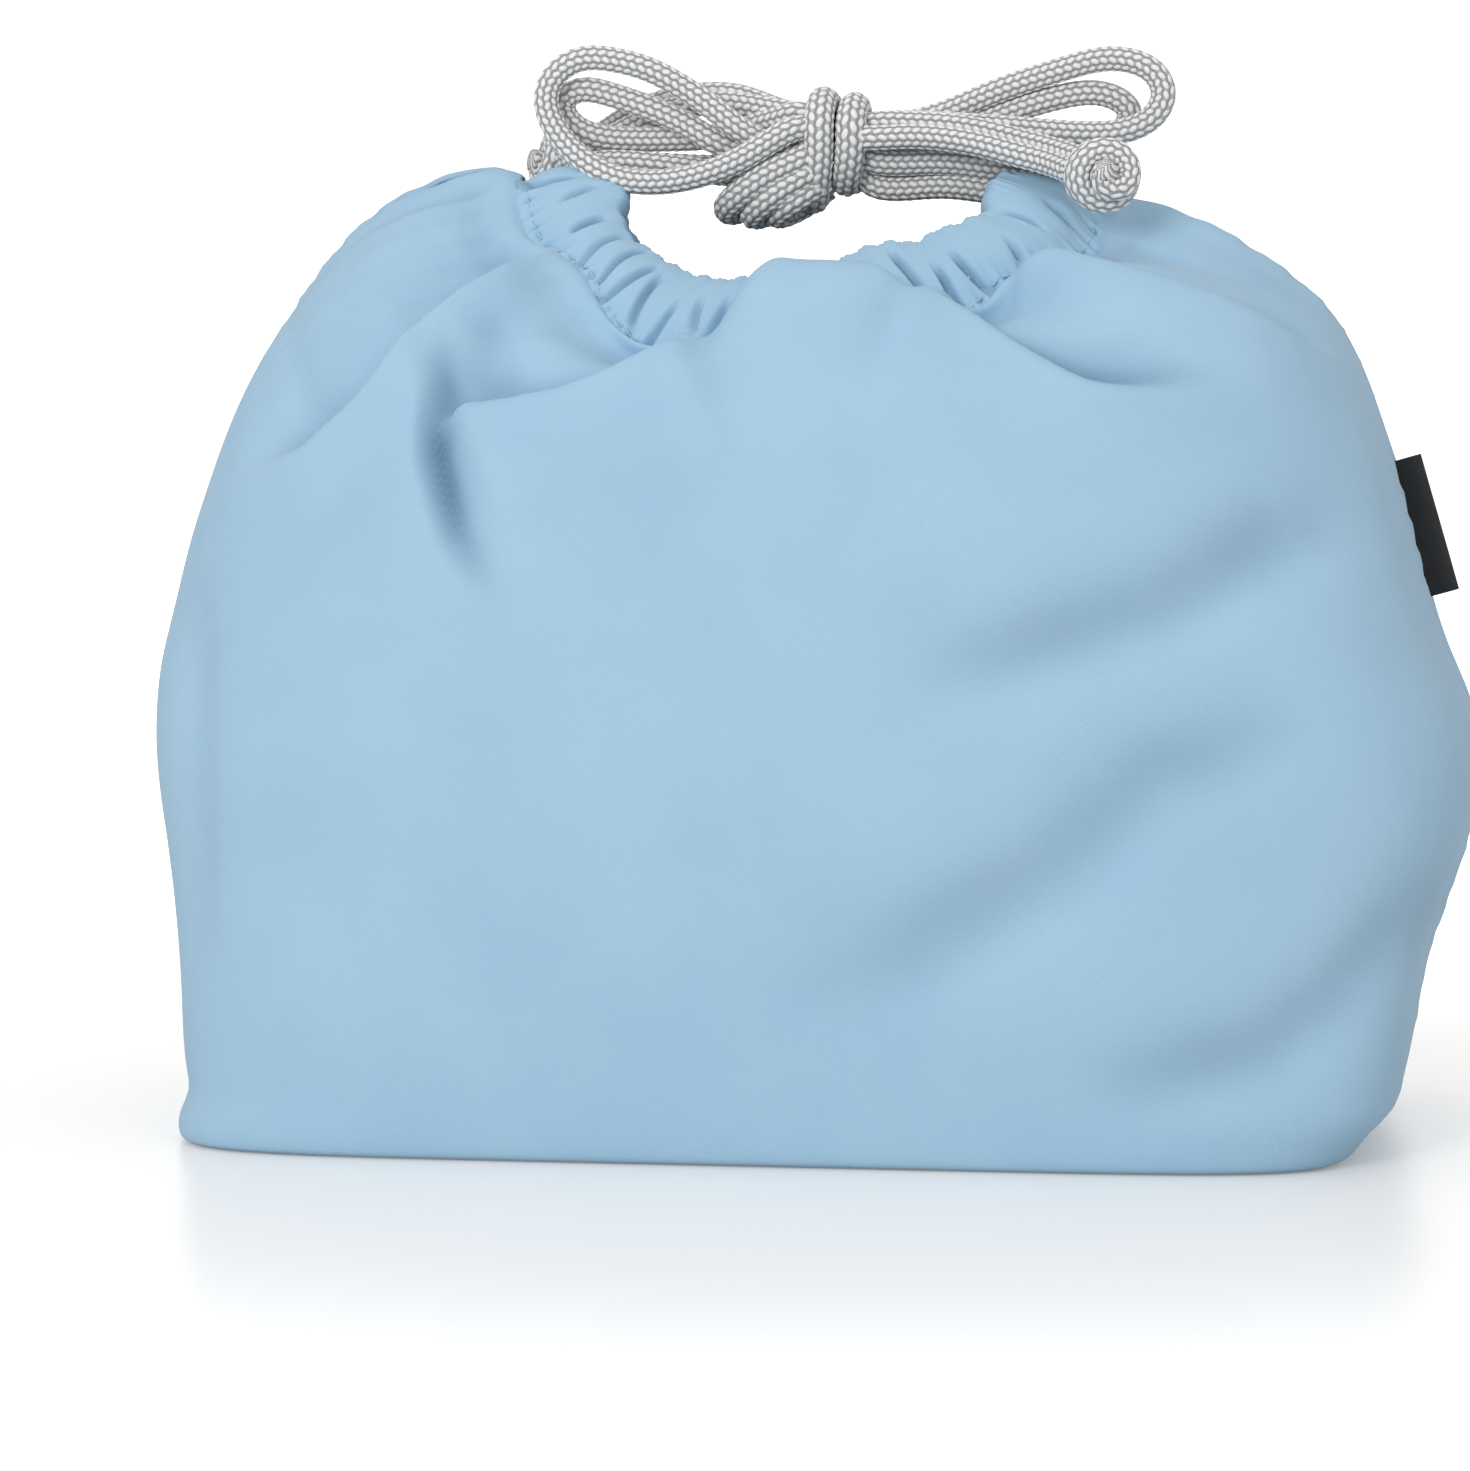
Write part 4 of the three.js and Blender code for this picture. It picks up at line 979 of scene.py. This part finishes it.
def band_points(stitch_line, rim_line, seed):
    """Points round a gathered tunnel, the painted shade of its creases, and the cords' lanes in it."""
    stations = np.linspace(BAND_START, 1 - BAND_START, BAND_COLUMNS + 1)
    q = np.tile(np.linspace(0, 1, BAND_AROUND + 1)[:, None], (1, BAND_COLUMNS + 1))
    hem = smooth_table(along_mouth(stitch_line), stations)
    rim = smooth_table(along_mouth(rim_line, RIM_OVAL), stations)
    middle = (hem + rim) / 2
    run = walked_along(middle)
    tangent = np.gradient(middle, axis=0)
    for _ in range(8):
        tangent[1:-1] = (tangent[:-2] + 2 * tangent[1:-1] + tangent[2:]) / 4
    across = rim - hem
    width = np.linalg.norm(across, axis=1)
    across /= width[:, None]
    out = np.cross(tangent, across)
    out /= np.linalg.norm(out, axis=1)[:, None]
    out = facing_out(out, middle)
    phi = 2 * math.pi * q
    w = (1 - np.cos(phi)) / 2
    half = smooth_table(BAND_THICKNESS, w.ravel())[:, 0].reshape(w.shape) / 2
    offset = np.sign(np.sin(phi)) * half * np.clip(np.abs(np.sin(phi)) * 2.2, 0, 1) ** 0.7
    outer = np.where(offset > 0, 1.0, INNER_CREASES)
    sunk = np.zeros_like(w)
    for place, depth, sharp, low, high, lean, bow in band_creases(seed, run[-1]):
        gap = run[None, :] - place - lean * (w - 0.5) - bow * (2 * w - 1) ** 2
        window = smooth_step(w, low, low + CREASE_EDGE) * (1 - smooth_step(w, high - CREASE_EDGE, high))
        sunk = np.maximum(sunk, depth * np.exp(-((gap / sharp) ** 2)) * window)
        sunk = sunk - CREASE_RIDGE * np.exp(-((np.abs(gap) - 2.1) / 1.1) ** 2) * window
    # Small puckers along the stitches, and fine gathers at the folded rim.
    pucker = 0.34 * np.sin(run * 2.1) + 0.22 * np.sin(run * 3.7 + 1.3)
    fine = 0.11 * np.sin(run * 4.6) + 0.08 * np.sin(run * 6.1 + 0.7)
    sunk = sunk + pucker[None, :] * np.exp(-(((w - 0.11) / 0.1) ** 2))
    sunk = sunk + fine[None, :] * smooth_step(w, 0.7, 0.95)
    offset = offset - np.sign(offset) * outer * sunk
    w = w + (0.016 * np.sin(run * 1.35) + 0.014 * np.sin(run * 0.71 + 2))[None, :] * w
    place = hem[None] + across[None] * (w * width[None, :])[:, :, None] + out[None] * offset[:, :, None]
    lanes = {name: (hem + across * (share * width)[:, None]) for name, share in CORD_LANES.items()}
    # Painted shade in the casing's creases, deeper where a crease sinks further.
    painted_shade = np.clip((sunk - 0.25) / 1.9, 0, 1) * 0.6
    return place, painted_shade, lanes


def band_piece(lip, seed):
    """A gathered casing, its points for the stitches, and the lanes of its two cords."""
    place, painted_shade, lanes = band_points(*MOUTH_LINES[lip], seed)
    piece = cloth_sheet(
        lip + "_casing_gathered", place.reshape(-1, 3), BAND_COLUMNS, BAND_AROUND, BAND_WEAVE,
        fold_shades=painted_shade.ravel(),
    )
    close_sheet(piece, False)
    piece.data.materials.append(cloth_material)
    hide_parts(lip + "_casing")
    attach(piece, lip + "_lip")
    return place, lanes


MOUTH_LINES = {
    "front": (FRONT_STITCH_LINE, FRONT_RIM_LINE),
    "back": (BACK_STITCH_LINE, BACK_RIM_LINE),
}
front_band_places, front_lanes = band_piece("front", 11)
back_band_places, back_lanes = band_piece("back", 23)

# The cords inside the casings. Each cord passes through both, in its own lane, and crosses from one
# to the other at the side away from its tails.
RUN_DIAMETER = 0.0026
RUN_SPACING = 0.00035
RUN_SIDES = 32
RUN_STEP = 14
CROSSING = np.array((0, 0.0004, -0.0006))
for lip, lanes, sign in (("front", front_lanes, -1), ("back", back_lanes, 1)):
    for cord_side, lane in lanes.items():
        points = lane[::RUN_STEP] / 1000
        far = -1 if cord_side == "left" else 0
        crossing = points[far] * (1, 0, 1) + CROSSING * (1, sign, 1)
        points = np.vstack([points, crossing]) if far == -1 else np.vstack([crossing, points])
        run_piece = braided_tubes(
            f"{cord_side}_cord_in_{lip}_casing", [smooth_line(points, RUN_SPACING)], RUN_DIAMETER, RUN_SIDES
        )
        run_piece.data.materials.append(cord_material)
        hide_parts(f"{cord_side}_cord_{lip}_run")
        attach(run_piece, lip + "_lip")

# The stitching that closes each casing: a straight row of lockstitch in a polyester thread dyed to
# match the cloth, a little above the fold's edge.
STITCH_LENGTH = 2.3
STITCH_PITCH = 2.9
STITCH_HALF_WIDTH = 0.26
STITCH_HALF_HEIGHT = 0.24
STITCH_LIFT = 0.12
CASING_STITCH_SHARE = 0.105
THREAD_DARK = (0.31, 0.49, 0.65, 1)
THREAD_LIGHT = (0.38, 0.58, 0.745, 1)
thread_material, tree, shader = new_material("sewing_thread", 0.6, 0.1)
thread_place = add_node(tree, "ShaderNodeTexCoord")
thread_twist = add_node(tree, "ShaderNodeTexNoise", {"Vector": thread_place.outputs["Object"], "Scale": 2600})
thread_tint = add_node(
    tree, "ShaderNodeMix", {"Factor": thread_twist.outputs["Fac"], "A": THREAD_DARK, "B": THREAD_LIGHT},
    data_type="RGBA",
)
tree.links.new(thread_tint.outputs["Result"], shader["Base Color"])


def stitch_row(name, line, out):
    """Stitches end to end along a line of points in millimetres, each a slim grain of thread."""
    run = walked_along(line)
    shape = bmesh.new()
    at = STITCH_PITCH
    while at < run[-1] - STITCH_PITCH:
        ends = [
            Vector([np.interp(at + step, run, line[:, k]) for k in range(3)])
            for step in (-STITCH_LENGTH / 2, STITCH_LENGTH / 2)
        ]
        lift = Vector([np.interp(at, run, out[:, k]) for k in range(3)]).normalized()
        along = (ends[1] - ends[0]).normalized()
        beside = along.cross(lift).normalized()
        turned = Matrix((along, beside, beside.cross(along))).transposed().to_4x4()
        middle = (ends[0] + ends[1]) / 2 + lift * STITCH_LIFT
        size = Matrix.Diagonal((STITCH_LENGTH / 2, STITCH_HALF_WIDTH, STITCH_HALF_HEIGHT, 1))
        bmesh.ops.create_icosphere(
            shape,
            subdivisions=2,
            radius=0.001,
            matrix=Matrix.Translation(middle / 1000) @ turned @ size,
        )
        at += STITCH_PITCH
    piece = new_piece(name, shape)
    piece.data.materials.append(thread_material)
    return piece


for lip, places in (("front", front_band_places), ("back", back_band_places)):
    rows = places.shape[0] - 1
    row = int(round(CASING_STITCH_SHARE * rows))
    if lip == "back":
        row = rows - row
    line = places[row]
    out = np.cross(np.gradient(line, axis=0), places[row + 1] - places[row - 1])
    out = facing_out(out, line)
    row_piece = stitch_row(lip + "_casing_stitches", line, out)
    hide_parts(lip + "_casing_stitching")
    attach(row_piece, lip + "_lip")

# The seams inside. The side seams' two plies stand inwards as narrow allowances, overlocked along
# their free edges; those of the base and the boxed corners are pressed flat on the base.
INNER_BLUE = (0.44, 0.62, 0.76, 1)
INNER_BLUE_WORN = (0.4, 0.585, 0.735, 1)
ALLOWANCE_AROUND = 24
ALLOWANCE_RIPPLE = 0.3
ALLOWANCE_WEAVE = 0.02
FLAT_SEAM_HEIGHT = 1.75
FLAT_SEAM_THICKNESS = 1.4
lining_material = woven_material("cloth_inner_face", INNER_BLUE, INNER_BLUE_WORN, 0.8, 0.05, 0.7)


def allowance(node, line, reach_way, face_way, reach, thickness):
    """A strip of two plies along a line of points in millimetres, closed all round, with a wavy free edge."""
    steps = len(line) - 1
    run = np.linspace(0, steps, steps + 1) * np.linalg.norm(line[-1] - line[0]) / steps
    q = np.linspace(0, 2 * math.pi, ALLOWANCE_AROUND + 1)[:, None]
    out = (1 - np.cos(q)) / 2
    half = np.sign(np.sin(q)) * thickness / 2 * np.clip(np.abs(np.sin(q)) * 3, 0, 1) ** 0.6
    half = half + out * ALLOWANCE_RIPPLE * np.sin(run[None, :] * 0.55)
    out = out * (reach + 0.2 * np.sin(run[None, :] * 1.7))
    place = line[None] + out[:, :, None] * np.array(reach_way) + half[:, :, None] * np.array(face_way)
    piece = cloth_sheet(
        node + "_allowance", place.reshape(-1, 3), steps, ALLOWANCE_AROUND, (run[-1] / 1000, ALLOWANCE_WEAVE)
    )
    piece.modifiers.clear()
    close_sheet(piece, True)
    piece.data.materials.append(lining_material)
    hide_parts(node)
    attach(piece, "bag")


def straight_line(start, end, count):
    return np.column_stack([np.linspace(a, b, count) for a, b in zip(start, end)])


side_edges = {
    "left": front_points[front_share == 0],
    "right": front_points[front_share == 1],
}
for side, inward in (("left", 1), ("right", -1)):
    edge = side_edges[side]
    line = straight_line((0, 0, 4.5), (0, 0, 161), 120)
    line[:, 0] = np.interp(line[:, 2], edge[:, 2], edge[:, 0]) + inward * 1.0
    allowance(side + "_side_seam", line, (inward, 0, 0), (0, 1, 0), 7, 1.6)
    corner_x = -inward * 97.0
    line = straight_line((corner_x, -36, FLAT_SEAM_HEIGHT), (corner_x, 36, FLAT_SEAM_HEIGHT), 60)
    allowance(side + "_corner_seam", line, (inward, 0, 0), (0, 0, 1), 9, FLAT_SEAM_THICKNESS)
line = straight_line((-87, -6, FLAT_SEAM_HEIGHT), (87, -6, FLAT_SEAM_HEIGHT), 140)
allowance("base_seam", line, (0, 1, 0), (0, 0, 1), 12, FLAT_SEAM_THICKNESS)

# The label: a black ribbon woven close, folded in two and caught in the right side seam, its two
# layers parted a little at the fold. A few stitches hold it where it enters the seam.
LABEL_FOOT = 94.5
LABEL_HEIGHT = 24.6
LABEL_REACH = 5.9
LABEL_TUCK = 1.6
LABEL_GAP = 0.5
LABEL_PLY = 0.42
LABEL_FLAT = (0.015, 0.0246)
LABEL_STEPS = 90
LABEL_CURL = 0.5
LABEL_WAVE = 0.25
RIB_PITCH = 0.0004
YARN_PITCH = 0.00022
RIBBON_BLACK = (0.011, 0.011, 0.012, 1)
RIBBON_SHINE = (0.03, 0.03, 0.032, 1)
label_material, tree, shader = new_material("woven_ribbon", 0.5, 0.1)
label_uv = add_node(tree, "ShaderNodeUVMap", uv_map="weave")
label_ribs, label_yarns = [
    add_node(
        tree, "ShaderNodeTexWave", {"Vector": label_uv.outputs[0], "Scale": WAVE_METRE / pitch},
        wave_type="BANDS", bands_direction=direction,
    ).outputs["Fac"]
    for direction, pitch in (("Y", RIB_PITCH), ("X", YARN_PITCH))
]
label_weave = add_node(tree, "ShaderNodeMath", {0: label_ribs, 1: label_yarns}, operation="MULTIPLY").outputs[0]
label_tint = add_node(
    tree, "ShaderNodeMix", {"Factor": label_weave, "A": RIBBON_BLACK, "B": RIBBON_SHINE}, data_type="RGBA"
)
tree.links.new(label_tint.outputs["Result"], shader["Base Color"])
raise_grain(tree, shader, label_weave, 0.7, 0.0001)

right_edge = side_edges["right"]
label_low, label_high = (
    np.array((np.interp(height, right_edge[:, 2], right_edge[:, 0]), 0, height))
    for height in (LABEL_FOOT, LABEL_FOOT + LABEL_HEIGHT)
)
label_up = (label_high - label_low) / np.linalg.norm(label_high - label_low)
label_out = np.array((label_up[2], 0, -label_up[0]))
label_half = [(-LABEL_TUCK, 0.7), (0, 0.8), (LABEL_REACH * 0.5, 1.2), (LABEL_REACH * 0.85, 1.2)]
label_profile = smooth_line(
    [(out, -LABEL_GAP * parted, 0) for out, parted in label_half]
    + [(LABEL_REACH, 0, 0)]
    + [(out, LABEL_GAP * parted, 0) for out, parted in label_half[::-1]],
    0.25,
)
label_rise = np.linspace(0, LABEL_HEIGHT, LABEL_STEPS + 1)
# The ribbon is cut a little slack, and its fold curls forward by a hair.
label_share = label_profile[:, 0] / LABEL_REACH
label_places = (
    label_low
    + label_profile[:, 0][None, :, None] * label_out
    + label_rise[:, None, None] * label_up
    + (label_profile[:, 1] - LABEL_CURL * label_share**2)[None, :, None] * np.array((0, 1, 0))
)
label_places[:, :, 1] += LABEL_WAVE * np.sin(label_rise / 4.2)[:, None] * label_share[None, :]
side_label = cloth_sheet(
    "side_ribbon", label_places.reshape(-1, 3), len(label_profile) - 1, LABEL_STEPS, LABEL_FLAT, LABEL_PLY / 1000
)
side_label.data.materials.append(label_material)
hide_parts("side_label")
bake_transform(side_label)
label_row = np.array([label_low + label_up * rise + label_out * 0.5 for rise in np.linspace(0, LABEL_HEIGHT, 40)])
for name, face_side in (("ribbon_stitches", -1), ("ribbon_stitches_back", 1)):
    row_line = label_row + (0, face_side * (LABEL_GAP + LABEL_PLY / 2 + 0.25), 0)
    row_piece = stitch_row(name, row_line, np.tile((0.0, face_side, 0.0), (40, 1)))
    if face_side == -1:
        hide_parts("label_stitching")
    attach(row_piece, "bag")

# The floor and the backdrop: one pale sheet that curves up behind the object, white to the camera
# and in reflections, and slightly glossy where the object stands, so that it keeps its shadow.
SHEET_HALF = 3.0
SHEET_FRONT = -3.0
SHEET_BACK = 1.6
SHEET_TOP = 2.6
SHEET_BEND = 0.6
SHEET_PALE = (0.84, 0.82, 0.8, 1)
GLOW_START = 0.13
GLOW_FULL = 0.42
GLOW_NEAR = 0.2
GLOW_FAR = 0.9
sheet_flat = SHEET_BACK - SHEET_FRONT - SHEET_BEND
sheet_arc = SHEET_BEND * math.pi / 2
sheet_rise = SHEET_TOP - SHEET_BEND
backdrop_shape = bmesh.new()
bmesh.ops.create_grid(backdrop_shape, x_segments=2, y_segments=60, size=1)
for vert in backdrop_shape.verts:
    walked = (vert.co.y + 1) / 2 * (sheet_flat + sheet_arc + sheet_rise)
    if walked <= sheet_flat:
        y, z = SHEET_FRONT + walked, 0
    elif walked <= sheet_flat + sheet_arc:
        turn = (walked - sheet_flat) / SHEET_BEND
        y = SHEET_FRONT + sheet_flat + SHEET_BEND * math.sin(turn)
        z = SHEET_BEND * (1 - math.cos(turn))
    else:
        y, z = SHEET_BACK, SHEET_BEND + walked - sheet_flat - sheet_arc
    vert.co = (vert.co.x * SHEET_HALF, y, z)
backdrop = new_piece("backdrop", backdrop_shape)
backdrop_material, tree, shader = new_material("pale_backdrop", 0.3, 0, 0.1)
shader["Base Color"].default_value = SHEET_PALE
seen = add_node(tree, "ShaderNodeLightPath").outputs
seen_direct = add_node(
    tree, "ShaderNodeMath", {0: seen["Is Camera Ray"], 1: seen["Is Glossy Ray"]}, operation="MAXIMUM"
)
seen_any = add_node(
    tree, "ShaderNodeMath", {0: seen_direct.outputs[0], 1: seen["Is Transmission Ray"]}, operation="MAXIMUM"
)
floor_place = add_node(tree, "ShaderNodeTexCoord")
floor_reach = add_node(tree, "ShaderNodeVectorMath", {0: floor_place.outputs["Object"]}, operation="LENGTH")
glow = add_node(
    tree, "ShaderNodeMapRange",
    {
        "Value": floor_reach.outputs["Value"], "From Min": GLOW_START, "From Max": GLOW_FULL,
        "To Min": GLOW_NEAR, "To Max": GLOW_FAR,
    },
    interpolation_type="SMOOTHSTEP",
)
glow_seen = add_node(tree, "ShaderNodeMath", {0: glow.outputs[0], 1: seen_any.outputs[0]}, operation="MULTIPLY")
shader["Emission Color"].default_value = (1, 1, 1, 1)
tree.links.new(glow_seen.outputs[0], shader["Emission Strength"])
backdrop.data.materials.append(backdrop_material)

# Plain soft studio light: an even pale surround, a broad key from the upper left in front, a weaker
# fill from the right and a wide top light.
world = bpy.data.worlds.new("studio")
bpy.context.scene.world = world
world.use_nodes = True
sky = world.node_tree.nodes["Background"].inputs
sky["Color"].default_value = (1, 1, 1, 1)
sky["Strength"].default_value = 0.55
for name, place, target, size, power in (
    ("key", (-0.42, -1.4, 0.62), (0, 0, 0.08), (0.5, 0.5), 8.7),
    ("fill", (1.1, -1.2, 0.5), (0, 0, 0.08), (1.0, 1.0), 2),
    ("top", (0.0, 0.1, 1.5), (0, 0, 0.1), (1.0, 0.9), 2.5),
):
    lamp = bpy.data.lights.new(name, "AREA")
    lamp.shape = "RECTANGLE"
    lamp.size, lamp.size_y = size
    lamp.energy = power
    holder = bpy.data.objects.new(name, lamp)
    holder.location = place
    holder.rotation_euler = (Vector(target) - Vector(place)).to_track_quat("-Z", "Y").to_euler()
    bpy.context.scene.collection.objects.link(holder)

bpy.context.scene.view_settings.view_transform = "Standard"
